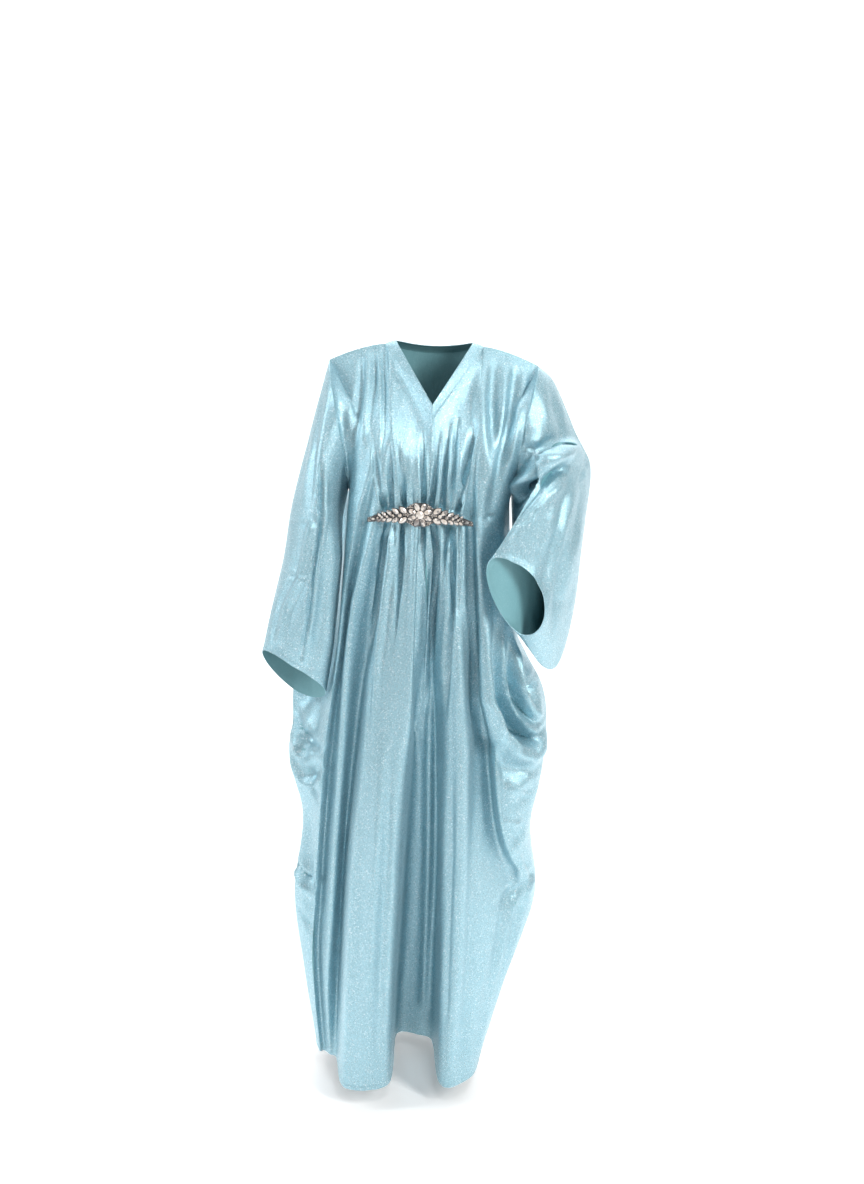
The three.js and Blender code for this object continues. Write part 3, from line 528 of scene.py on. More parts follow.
def press(grid, normals, creases, facing, sides_open):
    """Moves the points of a grid along their normals, in along troughs and out along ridges."""
    push = np.zeros(grid.shape[:2])
    for width, lean, line in creases:
        line = np.array(line, float)
        nearest = np.full(grid.shape[:2], np.inf)
        depth = np.zeros(grid.shape[:2])
        aside = np.zeros(grid.shape[:2])
        for start, end in zip(line[:-1], line[1:]):
            step = end[:2] - start[:2]
            offset = grid[..., [0, 2]] - start[:2]
            share = np.clip((offset @ step) / (step @ step), 0, 1)
            gap = offset - share[..., None] * step
            distance = np.hypot(gap[..., 0], gap[..., 1])
            closer = distance < nearest
            turn = step[0] * gap[..., 1] - step[1] * gap[..., 0]
            nearest = np.where(closer, distance, nearest)
            aside = np.where(closer, np.sign(turn), aside)
            depth = np.where(closer, between_values(start[2], end[2], share), depth)
        reach = width * (1 + lean * aside)
        ratio = nearest / reach
        lip = LIP["height"] * np.exp(-((ratio - LIP["place"]) / LIP["width"]) ** 2)
        push += CREASE_DEPTH * depth * (np.exp(-ratio ** 2) - lip)
    turned = soft_step((facing * normals[..., 1]) / FACING_SOFTNESS)
    return grid - normals * (push * turned * faded_edges(grid, sides_open))[..., None]


def streak(grid, normals, across, along, height, seed):
    """Long soft streaks, as cloth has where it hangs from a seam. Sizes in millimetres."""
    moved = np.empty(grid.shape[:2])
    finer, finer_along, share = (FINE_STREAKS[key] for key in ("across", "along", "height"))
    for r in range(grid.shape[0]):
        for c in range(grid.shape[1]):
            x, y, z = grid[r, c]
            coarse = noise.noise((x / across, y / across + seed, z / along))
            fine = noise.noise((finer * x / across, finer * y / across - seed, finer_along * z / along))
            moved[r, c] = coarse + share * fine
    return grid + normals * (moved * height * faded_edges(grid, False))[..., None]


print("lip beside a crease:", LIP)

# %% Crease tables: width, lean, then places (x, z, depth) down the line
FRONT_CREASES = [
    # gathers above the waist, from the wearer's right
    (4.5, 0.3, [(-104, -170, 0), (-92, -245, 4.1), (-80, -290, 8.1)]),
    (3.5, -0.2, [(-73, -150, 0), (-70, -207, 2.7), (-65, -290, 6.8)]),
    (3.5, 0.3, [(-60, -170, 0), (-54, -212, 2.7), (-45, -290, 8.1)]),
    (3, 0, [(-33, -232, 0), (-30, -262, 2.7), (-28, -285, 0)]),
    (3.5, -0.3, [(-14, -140, 0), (-12, -204, 4.1), (-8, -285, 8.1)]),
    (4, 0.4, [(14, -150, 0), (10, -190, 2.7), (4, -262, 8.1), (-1, -285, 6.8)]),
    (3.5, -0.3, [(31, -130, 0), (29, -171, 4.1), (24, -285, 8.1)]),
    (3.5, 0.2, [(45, -120, 0), (42, -170, 4.1), (39, -288, 6.8)]),
    (4.5, -0.4, [(78, -130, 0), (73, -164, 5.4), (59, -244, 9.5), (52, -290, 9.5)]),
    # gathers below it, with a lit edge beside the first
    (5, 0.4, [(-75, -314, 8.1), (-82, -348, 9.5), (-88, -415, 8.1), (-98, -547, 5.4), (-100, -643, 2.7),
              (-101, -755, 0)]),
    (6, 0, [(-62, -337, -2), (-74, -435, -4), (-89, -571, -4), (-96, -758, 0)]),
    (3.5, 0.2, [(-61, -312, 6.8), (-61, -345, 4.1), (-60, -385, 0)]),
    (4, -0.3, [(-45, -314, 9.5), (-45, -370, 8.1), (-51, -468, 5.4), (-56, -560, 0)]),
    (5, -0.3, [(-9, -314, 10.8), (-10, -452, 12.2), (-11, -692, 6.8), (-9, -800, 0)]),
    (4.5, 0.3, [(6, -314, 6.8), (14, -369, 9.5), (12, -467, 9.5), (9, -586, 6.8), (8, -690, 0)]),
    (3.5, 0, [(32, -314, 8.1), (31, -370, 5.4), (31, -425, 0)]),
    (4.5, -0.3, [(43, -314, 8.1), (47, -376, 9.5), (48, -481, 6.8), (42, -601, 4.1), (40, -690, 0)]),
    (6.5, 0.3, [(72, -322, 5.4), (79, -464, 8.1), (93, -565, 6.8), (95, -700, 0)]),
    # short level creases at both ends of the gathers
    (3, 0, [(-132, -316, 0), (-120, -316, 2.5), (-108, -315, 0)]),
    (3, 0, [(94, -302, 0), (106, -299, 2.5), (120, -298, 0)]),
    # crests and dips of the columns over the legs
    (14, 0, [(-74, -700, 0), (-80, -900, -5), (-88, -1150, -5), (-94, -1400, -2)]),
    (8, -0.2, [(-54, -640, 0), (-58, -850, 3), (-64, -1100, 4), (-66, -1380, 2)]),
    (12, 0.2, [(58, -477, -2), (66, -600, -5), (75, -697, -5), (82, -987, -4), (84, -1261, -3)]),
    (7, 0, [(56, -760, 0), (60, -950, 4), (62, -1200, 3), (62, -1420, 1)]),
    (8, -0.2, [(100, -690, 0), (106, -860, 4), (104, -1100, 4), (98, -1400, 2)]),
    # crests of the skirt and of the recess between the columns
    (12, 0, [(-139, -457, -1), (-145, -649, -2), (-161, -952, -2), (-168, -1166, -1), (-177, -1322, 0)]),
    (8, 0, [(11, -560, 0), (14, -800, -5), (19, -1018, -5), (19, -1357, -3)]),
    # left wing: a flap, its lower edge and the tuck beside it
    (6, 0.3, [(190, -533, 2), (216, -544, 7), (244, -547, 4)]),
    (5, -0.3, [(190, -582, 2), (211, -563, 6), (236, -555, 3)]),
    (7, 0.3, [(198, -624, 5), (219, -614, 10), (235, -594, 8), (246, -560, 3)]),
    (8, -0.3, [(187, -500, 3), (189, -571, 9), (197, -618, 10), (212, -653, 5)]),
    # left wing: three hanging loops, crest and valley in turn
    (15, 0, [(110, -450, 0), (115, -552, -6.8), (124, -639, -10.8), (144, -702, -14.9),
             (174, -742, -16.2), (209, -757, -12.2), (236, -742, -4.1)]),
    (9, 0.3, [(125, -460, 0), (126, -552, 9.5), (135, -630, 14.9), (154, -679, 18.9), (181, -714, 17.6),
              (208, -729, 12.2), (228, -722, 4.1)]),
    (8, 0, [(141, -456, 0), (141, -552, -4.1), (150, -630, -6.8), (167, -671, -8.1), (191, -696, -6.8),
            (213, -709, -2.7)]),
    (9, 0.3, [(153, -500, 0), (158, -590, 10.8), (170, -643, 13.5), (192, -672, 9.5), (213, -691, 2.7)]),
    (8, 0, [(168, -500, 0), (177, -609, -8.1), (195, -652, -9.5), (217, -679, -4.1)]),
    # left wing: a soft crest under the loops and two pressed lines
    (14, 0, [(216, -772, 0), (203, -797, -5), (185, -812, -5), (156, -822, 0)]),
    (3, 0, [(168, -812, 0), (193, -828, -3), (220, -843, 0)]),
    (3, 0, [(148, -874, 0), (177, -886, -3), (210, -894, 0)]),
    # left wing: folds at its foot, then its long falls
    (7, 0, [(170, -956, 0), (186, -923, 5), (196, -890, 0)]),
    (7, 0.2, [(200, -950, 1), (219, -1000, 7), (233, -1036, 3)]),
    (10, 0, [(160, -1079, 0), (191, -1052, 6), (230, -1034, 4)]),
    (8, 0.2, [(146, -560, 0), (150, -700, 4), (160, -860, 4), (176, -960, 0)]),
    (9, -0.2, [(196, -940, 0), (180, -1040, 4), (160, -1180, 4), (132, -1360, 2)]),
    (7, 0, [(222, -1010, 0), (196, -1120, 4), (170, -1240, 3), (150, -1320, 0)]),
    # right wing: inner fold, upper loop, lit roll, lower loop
    (7, 0.3, [(-198, -670, 2), (-208, -718, 5), (-222, -742, 6), (-233, -765, 5), (-226, -815, 5),
              (-204, -856, 3), (-192, -880, 0)]),
    (8, 0.3, [(-256, -712, 2), (-239, -742, 7), (-222, -760, 8), (-204, -758, 4)]),
    (9, 0, [(-254, -756, -2), (-238, -786, -7), (-218, -796, -7), (-200, -776, -3)]),
    (8, 0.3, [(-248, -806, 2), (-230, -834, 7), (-212, -828, 7), (-196, -796, 3)]),
    # right wing: low crease, lit pucker, pressed line, long fall
    (6, 0, [(-252, -1018, 2), (-228, -1040, 8), (-206, -1046, 3)]),
    (8, 0, [(-246, -1044, -2), (-230, -1062, -6), (-212, -1072, -3)]),
    (5, 0, [(-240, -1112, 0), (-222, -1132, 4), (-206, -1160, 0)]),
    (8, 0, [(-214, -880, 0), (-216, -1000, 4), (-208, -1150, 4), (-200, -1300, 0)]),
    # chest, wearer's right: ripples and a crest
    (7, 0, [(-132, -22, 2), (-128, -70, 4), (-134, -150, 3), (-142, -220, 0)]),
    (6, 0, [(-108, -18, 2), (-106, -70, 4), (-112, -150, 0)]),
    (5, 0.3, [(-94, -16, 2), (-88, -80, 5), (-84, -150, 3), (-88, -210, 0)]),
    (6, 0, [(-120, -20, -2), (-117, -80, -3), (-124, -190, -2), (-128, -260, 0)]),
    # chest, wearer's left: crests and dips
    (11, 0, [(92, -30, -1), (86, -90, -4), (90, -150, -5), (97, -188, -4), (108, -250, 0)]),
    (10, 0.2, [(106, -40, 2), (104, -100, 4), (112, -160, 3), (118, -210, 0)]),
    (9, 0, [(128, -44, -1), (124, -100, -3), (120, -160, -3), (112, -230, 0)]),
    (7, 0, [(166, -60, -2), (156, -120, -4), (142, -190, -3), (128, -250, 0)]),
    (7, 0, [(146, -50, 2), (138, -110, 4), (126, -180, 4), (112, -260, 2), (104, -320, 0)]),
]
BACK_CREASES = [
    # ripples under the shoulders, from the wearer's left
    (8, 0.2, [(112, -30, 2), (104, -110, 5), (98, -230, 3), (96, -330, 0)]),
    (9, 0, [(70, -24, 1), (62, -120, 4), (52, -260, 4), (50, -420, 0)]),
    (7, -0.2, [(20, -24, 0), (18, -130, 3), (14, -250, 0)]),
    (8, 0, [(-46, -22, 0), (-38, -150, 4), (-32, -330, 3), (-34, -460, 0)]),
    (9, 0.3, [(-104, -28, 2), (-98, -130, 5), (-88, -290, 3), (-84, -400, 0)]),
    # long falls, from the wearer's left
    (10, 0.2, [(150, -380, 0), (162, -560, 5), (166, -800, 4), (172, -1060, 0)]),
    (9, 0, [(108, -420, 0), (118, -650, -5), (128, -900, -4), (122, -1250, -3), (110, -1420, 0)]),
    (11, -0.2, [(60, -330, 0), (66, -600, 5), (76, -900, 6), (78, -1250, 4), (72, -1420, 2)]),
    (9, 0, [(26, -460, 0), (30, -700, 4), (34, -1000, 5), (34, -1380, 2)]),
    (10, 0.2, [(-18, -520, 0), (-20, -760, 4), (-26, -1050, 5), (-30, -1400, 3)]),
    (9, 0, [(-64, -400, 0), (-72, -640, 5), (-82, -920, 5), (-92, -1300, 3), (-94, -1420, 1)]),
    (10, -0.2, [(-110, -500, 0), (-122, -740, -5), (-132, -1000, -5), (-134, -1380, -2)]),
    (9, 0.2, [(-156, -400, 0), (-172, -620, 5), (-180, -860, 4), (-184, -1150, 3), (-178, -1380, 0)]),
    # bends behind the knees
    (6, 0, [(30, -690, 0), (70, -704, 3), (112, -696, 0)]),
    (6, 0, [(-30, -730, 0), (-66, -742, 3), (-104, -732, 0)]),
]
RIGHT_SLEEVE_CREASES = [
    # two pressed lines across the arm
    (3, 0.5, [(-262, -330, 0), (-250, -327, 1.4), (-215, -322, 1.6), (-190, -320, 0)]),
    (3, 0.5, [(-276, -425, 0), (-262, -423, 1.5), (-225, -421, 1.5), (-206, -421, 0)]),
    # long crest, fold along the seam, hollow inside the arm
    (6, 0, [(-209, -322, -5), (-228, -420, -5), (-256, -478, -5), (-270, -540, -2)]),
    (3.5, 0.4, [(-196, -200, 0), (-195, -250, 4), (-194, -314, 4), (-205, -396, 5), (-215, -494, 4),
                (-229, -570, 2)]),
    (14, 0, [(-178, -330, 2), (-183, -440, 6), (-196, -540, 5), (-206, -600, 0)]),
    # drags from the shoulder
    (6, 0, [(-196, -90, 1), (-206, -160, 4), (-212, -240, 3), (-216, -310, 0)]),
    (5, 0.2, [(-208, -110, 0), (-224, -190, 3), (-236, -270, 0)]),
]
LEFT_SLEEVE_CREASES = [
    # roll over the elbow, gap under it, second roll, drag above
    (12, 0, [(150, -268, -6), (166, -236, -12), (192, -206, -15), (224, -186, -14), (254, -180, -9),
             (272, -192, -4)]),
    (6.5, 0.4, [(156, -284, 4), (172, -258, 12), (194, -232, 17), (222, -212, 15), (240, -210, 5)]),
    (10, 0, [(186, -280, 0), (206, -250, -4), (230, -238, -4), (250, -250, 0)]),
    (5, 0.2, [(152, -174, 1), (175, -174, 5), (203, -178, 0)]),
    # nick on the outer edge
    (4, 0, [(290, -216, 1), (280, -226, 3), (268, -241, 0)]),
    # pressed lines on the forearm, then its long fold
    (2.8, 0, [(128, -268, 0), (136, -282, -2), (142, -310, 0)]),
    (2.8, 0, [(162, -298, 0), (150, -310, -2), (140, -320, 0)]),
    (2.8, 0, [(178, -326, 0), (188, -338, -2), (196, -346, 0)]),
    (9, 0, [(240, -236, 2), (238, -270, 5), (226, -330, 4), (204, -405, 1)]),
    # dip on the upper arm, falls of the bag
    (10, 0, [(206, -60, 0), (220, -100, 4), (240, -150, 3), (262, -180, 0)]),
    (8, 0.2, [(262, -260, 0), (248, -340, 5), (234, -430, 4), (228, -510, 0)]),
    (7, 0, [(278, -240, 0), (268, -320, 4), (250, -400, 0)]),
]
SLEEVE_BACK_CREASES = [
    # behind the right arm and its elbow
    (7, 0, [(-196, -110, 1), (-214, -230, 5), (-226, -360, 4), (-240, -480, 0)]),
    (6, 0.2, [(-230, -200, 0), (-252, -330, 4), (-268, -460, 4), (-280, -560, 0)]),
    (5, 0, [(-200, -400, 0), (-226, -412, 4), (-256, -404, 0)]),
    # behind the left arm and its elbow
    (8, 0, [(206, -110, 1), (226, -200, 5), (244, -300, 5), (246, -420, 0)]),
    (7, -0.2, [(250, -150, 0), (272, -240, 5), (276, -330, 3), (262, -420, 0)]),
    (6, 0, [(214, -300, 0), (244, -318, 5), (276, -306, 0)]),
]
print("creases:", len(FRONT_CREASES), "front,", len(BACK_CREASES), "back")

# %% Creases pressed into both panels
def panel_normals(half, grid, u):
    """Normals of a panel that run on over the side seams into the other panel."""
    folds, other = (FRONT_FOLDS, BACK_FOLDS) if half == "front" else (BACK_FOLDS, FRONT_FOLDS)
    other_half = "back" if half == "front" else "front"
    step = u[1]
    ends = np.array([len(other) - 1 - step, step])
    beyond = panel_grid(other_half, ends, ROW_HEIGHTS)
    return outward(grid, beyond[:, 0], beyond[:, 1])


def creased_panel(half, grid, u, creases, facing, seed):
    """Panel with its streaks and creases, and its normals. It faces -1, the front, or 1, the back."""
    normals = panel_normals(half, grid, u)
    grid = streak(grid, normals, seed=seed, **PANEL_STREAKS)
    grid = press(grid, normals, creases, facing, False)
    return grid, panel_normals(half, grid, u)


front_grid, front_normals = creased_panel("front", front_grid, FRONT_COLUMNS, FRONT_CREASES, -1, 3.0)
back_grid, back_normals = creased_panel("back", back_grid, BACK_COLUMNS, BACK_CREASES, 1, 7.0)
print("front reaches", front_grid.min(axis=(0, 1)).round(), front_grid.max(axis=(0, 1)).round())

# %% [markdown]
# ## Sleeves
# A sleeve is a tube through a few rings. Each ring passes through four points of the arm: over it, in
# front, under it and behind. The first ring follows the armhole that the panels leave, a thread's width
# away, so the seam shows as a fine line. The left arm is bent and the wide sleeve rolls over the elbow,
# with its spare width hanging below as a bag.

# %% Sleeve tubes
SLEEVE_COLUMNS = 144
SLEEVE_ROWS_PER_RING = {"right": 27, "left": 23}


def sleeve_grid(rings, side, rows_per_ring):
    """Tube through the rings. Its first ring is bent onto the armhole of the panels."""
    angles = np.arange(SLEEVE_COLUMNS) / SLEEVE_COLUMNS * 2 * math.pi
    corners = np.array(rings, float)
    padded = np.concatenate([corners[:1], corners, corners[-1:]])
    quarter = np.minimum((angles / (math.pi / 2) + TINY).astype(int), 3)
    turn = (angles - quarter * math.pi / 2)[:, None]

    def ring(four):
        """Ring of four quarter ellipses through four points."""
        middle = four.mean(axis=0)
        arms = four - middle
        return middle + arms[quarter] * np.cos(turn) + arms[(quarter + 1) % 4] * np.sin(turn)

    edge = []
    for angle in angles:
        half = "front" if angle <= math.pi else "back"
        climb = math.pi / 2 - angle if half == "front" else angle - math.pi * 1.5
        edge.append(armhole_point(side, half, climb) + np.array([side * SEAM, 0, 0]))
    drawn = ring(corners[0])
    rows = []
    for r in range((len(rings) - 1) * rows_per_ring + 1):
        along = r / rows_per_ring
        span = min(int(along), len(rings) - 2)
        before, start, end, after = padded[span:span + 4]
        slopes = (end - before) * CURVE_TENSION, (after - start) * CURVE_TENSION
        four = cubic(start, end, *slopes, along - span)
        pull = max(0.0, 1 - along) ** 2
        rows.append(ring(four) + (np.array(edge) - drawn) * pull)
    grid = np.array(rows)
    return grid if side < 0 else grid[:, ::-1]


def creased_tube(grid, front_creases, seed):
    """Sleeve with its streaks and creases, and its normals. Its columns close on themselves."""
    normals = outward(grid, grid[:, -1], grid[:, 0])
    grid = streak(grid, normals, seed=seed, **SLEEVE_STREAKS)
    grid = press(grid, normals, front_creases, -1, True)
    grid = press(grid, normals, SLEEVE_BACK_CREASES, 1, True)
    return grid, outward(grid, grid[:, -1], grid[:, 0])


right_grid = sleeve_grid(SLEEVE_RIGHT, -1, SLEEVE_ROWS_PER_RING["right"])
left_grid = sleeve_grid(SLEEVE_LEFT, 1, SLEEVE_ROWS_PER_RING["left"])
right_grid, right_normals = creased_tube(right_grid, RIGHT_SLEEVE_CREASES, 11.0)
left_grid, left_normals = creased_tube(left_grid, LEFT_SLEEVE_CREASES, 17.0)
print("sleeve grids", right_grid.shape, left_grid.shape)

# %% [markdown]
# ## The satin
# Satin is woven with long floating threads, so it is smooth along the threads and mirrors light in soft
# streaks. This one also has a fine metallic shimmer. Three effects are shared by the outer and the inner
# side of the cloth, so each is a node group: a shimmer of tiny lighter and darker specks with a few
# painted glints, near-white specks that stand in for sparkles of light, the fine ribbing of the threads,
# and the slow change of tone that dyed cloth always has. The groups give only colours, heights and small
# changes of gloss. The shader itself stays in each material.

# %% Helpers for node groups
def feed(socket, value):
    """Gives a socket a value, or a link where the value is another socket."""
    if isinstance(value, bpy.types.NodeSocket):
        socket.id_data.links.new(value, socket)
    else:
        socket.default_value = value


def new_group(name, sockets, kind="ShaderNodeTree"):
    """Node group with named inputs and outputs. Each socket is (name, IN or OUT, kind, value)."""
    group = bpy.data.node_groups.new(name, kind)
    for label, way, socket_kind, value in sockets:
        socket = group.interface.new_socket(name=label, in_out=way + "PUT",
                                            socket_type="NodeSocket" + socket_kind)
        if value is not None:
            socket.default_value = value
    taken, given = group.nodes.new("NodeGroupInput"), group.nodes.new("NodeGroupOutput")
    return group, taken.outputs, given.inputs


def add_node(tree, kind, values=None, **settings):
    """Node with settings, and with values or links for its inputs, by name or number."""
    node = tree.nodes.new(kind)
    for key, value in settings.items():
        setattr(node, key, value)
    for key, value in (values or {}).items():
        feed(node.inputs[key], value)
    return node


def blend_colours(tree, share, first, second, how="MIX"):
    """Mix of two colours. Each argument is a socket or a value."""
    values = {0: share, 6: first, 7: second}
    return add_node(tree, "ShaderNodeMix", values, data_type="RGBA", blend_type=how).outputs[2]


def calculate(tree, operation, *numbers):
    """One sum on numbers. Each of them is a socket or a value."""
    return add_node(tree, "ShaderNodeMath", dict(enumerate(numbers)), operation=operation).outputs[0]


def object_place(tree):
    """Place on the object, in metres."""
    return add_node(tree, "ShaderNodeTexCoord").outputs["Object"]


print("helpers for node groups ready")

# %% Group: shimmer of the satin
SPECKS = {"Detail": 2.0, "Roughness": 0.6}
CELLS_PER_SPECK = 1.5
# shimmer cells above this value become painted glints
GLINT_CELLS_ABOVE = 0.94

shimmer, taken, given = new_group("satin shimmer", [
    ("Dye", "IN", "Color", (0.3, 0.6, 0.7, 1)), ("Glint", "IN", "Color", (0.9, 1, 1, 1)),
    ("Speck Size", "IN", "Float", 0.0016), ("Speck Strength", "IN", "Float", 0.3),
    ("Colour", "OUT", "Color", None), ("Height", "OUT", "Float", None), ("Gloss", "OUT", "Float", None)])
place = object_place(shimmer)
per_metre = calculate(shimmer, "DIVIDE", 1.0, taken["Speck Size"])
specks = add_node(shimmer, "ShaderNodeTexNoise", {"Vector": place, "Scale": per_metre, **SPECKS})
cells = add_node(shimmer, "ShaderNodeTexVoronoi", {
    "Vector": place, "Scale": calculate(shimmer, "MULTIPLY", per_metre, CELLS_PER_SPECK)})
cell_value = add_node(shimmer, "ShaderNodeSeparateColor", {"Color": cells.outputs["Color"]})
# painted glints: cells above the threshold take the near-white Glint colour, a painted sparkle of light
painted_glint_cells = calculate(shimmer, "GREATER_THAN", cell_value.outputs[0], GLINT_CELLS_ABOVE)
centred = calculate(shimmer, "SUBTRACT", specks.outputs["Fac"], 0.5)
swing = calculate(shimmer, "MULTIPLY_ADD", centred, taken["Speck Strength"], 1.0)
brightness = add_node(shimmer, "ShaderNodeCombineColor", {channel: swing for channel in range(3)})
toned = blend_colours(shimmer, 1.0, taken["Dye"], brightness.outputs[0], "MULTIPLY")
painted_glint_share = calculate(shimmer, "MULTIPLY", painted_glint_cells, taken["Speck Strength"])
feed(given["Colour"], blend_colours(shimmer, painted_glint_share, toned, taken["Glint"]))
feed(given["Height"], specks.outputs["Fac"])
feed(given["Gloss"], calculate(shimmer, "MULTIPLY", centred, taken["Speck Strength"]))
print("group:", shimmer.name)

# %% Group: ribs of the threads
THREAD_WAVE = 2 * math.pi / 20
RIB = {"Detail": 1.0, "Detail Scale": 0.4}
WARP_DISTORTION = 1.2
WEFT_DISTORTION = 0.8

threads, taken, given = new_group("satin threads", [
    ("Thread Pitch", "IN", "Float", 0.0006), ("Weft Share", "IN", "Float", 0.35),
    ("Height", "OUT", "Float", None)])
thread_map = add_node(threads, "ShaderNodeUVMap", uv_map="threads").outputs["UV"]
pitch_scale = calculate(threads, "DIVIDE", THREAD_WAVE, taken["Thread Pitch"])
ribs = [add_node(threads, "ShaderNodeTexWave", {
    "Vector": thread_map, "Scale": pitch_scale, "Distortion": distortion, **RIB}, bands_direction=direction)
    for direction, distortion in (("X", WARP_DISTORTION), ("Y", WEFT_DISTORTION))]
warp, weft = (wave.outputs["Fac"] for wave in ribs)
feed(given["Height"], calculate(threads, "MULTIPLY_ADD", weft, taken["Weft Share"], warp))
print("group:", threads.name)

# %% Group: slow change of tone
PATCH_STRETCH = (1, 1, 0.35)
PATCHES = {"Detail": 3.0, "Roughness": 0.5}
CRUMPLES = {"Detail": 4.0, "Roughness": 0.55, "Distortion": 0.6}
CRUMPLES_PER_PATCH = 6.0

tone, taken, given = new_group("dye tone", [
    ("Colour", "IN", "Color", (1, 1, 1, 1)), ("Deep", "IN", "Color", (0.5, 0.5, 0.5, 1)),
    ("Patch Size", "IN", "Float", 0.12), ("Share", "IN", "Float", 0.4),
    ("Colour", "OUT", "Color", None), ("Crumple", "OUT", "Float", None)])
stretched = add_node(tone, "ShaderNodeMapping", {
    "Vector": object_place(tone), "Scale": PATCH_STRETCH}).outputs["Vector"]
patches = add_node(tone, "ShaderNodeTexNoise", {
    "Vector": stretched, "Scale": calculate(tone, "DIVIDE", 1.0, taken["Patch Size"]), **PATCHES})
patch_share = calculate(tone, "MULTIPLY", patches.outputs["Fac"], taken["Share"])
feed(given["Colour"], blend_colours(tone, patch_share, taken["Colour"], taken["Deep"]))
crumple = add_node(tone, "ShaderNodeTexNoise", {
    "Vector": stretched, "Scale": calculate(tone, "DIVIDE", CRUMPLES_PER_PATCH, taken["Patch Size"]),
    **CRUMPLES})
feed(given["Crumple"], crumple.outputs["Fac"])
print("group:", tone.name)

# %% Satin, outside and inside
LOOKS = {
    "outside": {"dye": (0.36, 0.58, 0.66, 1), "deep": (0.25, 0.47, 0.55, 1), "glint": (0.88, 0.97, 1.0, 1),
                "tone": 0.35, "specks": 1.3, "roughness": 0.42, "grain": 1.3,
                "metallic": 0.72, "sheen": 0.05, "coat": 0.35},
    # inner side: a duller satin, and its darker dye, deep and glint colours are painted shade
    "inside": {"dye": (0.20, 0.42, 0.46, 1), "deep": (0.14, 0.33, 0.38, 1), "glint": (0.5, 0.7, 0.75, 1),
               "tone": 0.5, "specks": 0.15, "roughness": 0.6, "grain": 0.25,
               "metallic": 0.1, "sheen": 0.15, "coat": 0.0},
}
CRUMPLE_BUMP = {"Strength": 0.3, "Distance": 0.003}
GRAIN_DISTANCE = 0.0006
WEAVE_BUMP = {"Strength": 0.25, "Distance": 0.0001}


def satin_material(name, look):
    """Cloth material from the three groups, with its own gloss."""
    material, tree, shader = new_material(name, {
        "Metallic": look["metallic"], "Sheen Weight": look["sheen"], "Sheen Roughness": 0.35,
        "Sheen Tint": (0.85, 0.97, 1.0, 1), "Anisotropic": 0.35,
        "Coat Weight": look["coat"], "Coat Roughness": 0.4})
    dyed = add_node(tree, "ShaderNodeGroup", {
        "Colour": look["dye"], "Deep": look["deep"], "Share": look["tone"]}, node_tree=tone)
    speckled = add_node(tree, "ShaderNodeGroup", {
        "Dye": dyed.outputs["Colour"], "Glint": look["glint"], "Speck Strength": look["specks"]},
        node_tree=shimmer)
    woven = add_node(tree, "ShaderNodeGroup", node_tree=threads)
    feed(shader.inputs["Base Color"], speckled.outputs["Colour"])
    rough = calculate(tree, "SUBTRACT", look["roughness"], speckled.outputs["Gloss"])
    feed(shader.inputs["Roughness"], rough)
    crumpled = add_node(tree, "ShaderNodeBump", {"Height": dyed.outputs["Crumple"], **CRUMPLE_BUMP})
    grained = add_node(tree, "ShaderNodeBump", {
        "Normal": crumpled.outputs["Normal"], "Height": speckled.outputs["Height"],
        "Strength": look["grain"], "Distance": GRAIN_DISTANCE})
    ribbed = add_node(tree, "ShaderNodeBump", {
        "Normal": grained.outputs["Normal"], "Height": woven.outputs["Height"], **WEAVE_BUMP})
    feed(shader.inputs["Normal"], ribbed.outputs["Normal"])
    return material


satin = satin_material("ice-blue satin", LOOKS["outside"])
shaded_satin_inside = satin_material("ice-blue satin, inside, painted shade", LOOKS["inside"])
print("materials:", satin.name, "and", shaded_satin_inside.name)

# %% [markdown]
# ## From a grid to cloth with two sides
# Real cloth has a thickness, and it shows at the cuffs, the hem and the neck. Each grid becomes the outer
# side of a thin wall: the same points moved in by the cloth's thickness make the inner side, and strips
# along the open edges close it. A Solidify modifier could do this, but it wouldn't follow the seams,
# where both pieces need the same direction. Each side has its own satin: the inner one is duller, and
# its darker colour is painted shade. The map is in real metres along the threads, so that the weave has
# its true size.

# %% Wall builder
MM = 0.001
HEM = {"cuff": 8.0, "bottom": 8.5, "puff": 0.55}
SHARP_ANGLE = math.radians(60)


def lengths_along(grid, axis):
    """Distance walked along the grid in one direction, in millimetres."""
    steps = np.linalg.norm(np.diff(grid, axis=axis), axis=2)
    start = np.zeros_like(steps[:1] if axis == 0 else steps[:, :1])
    return np.concatenate([start, np.cumsum(steps, axis=axis)], axis=axis)


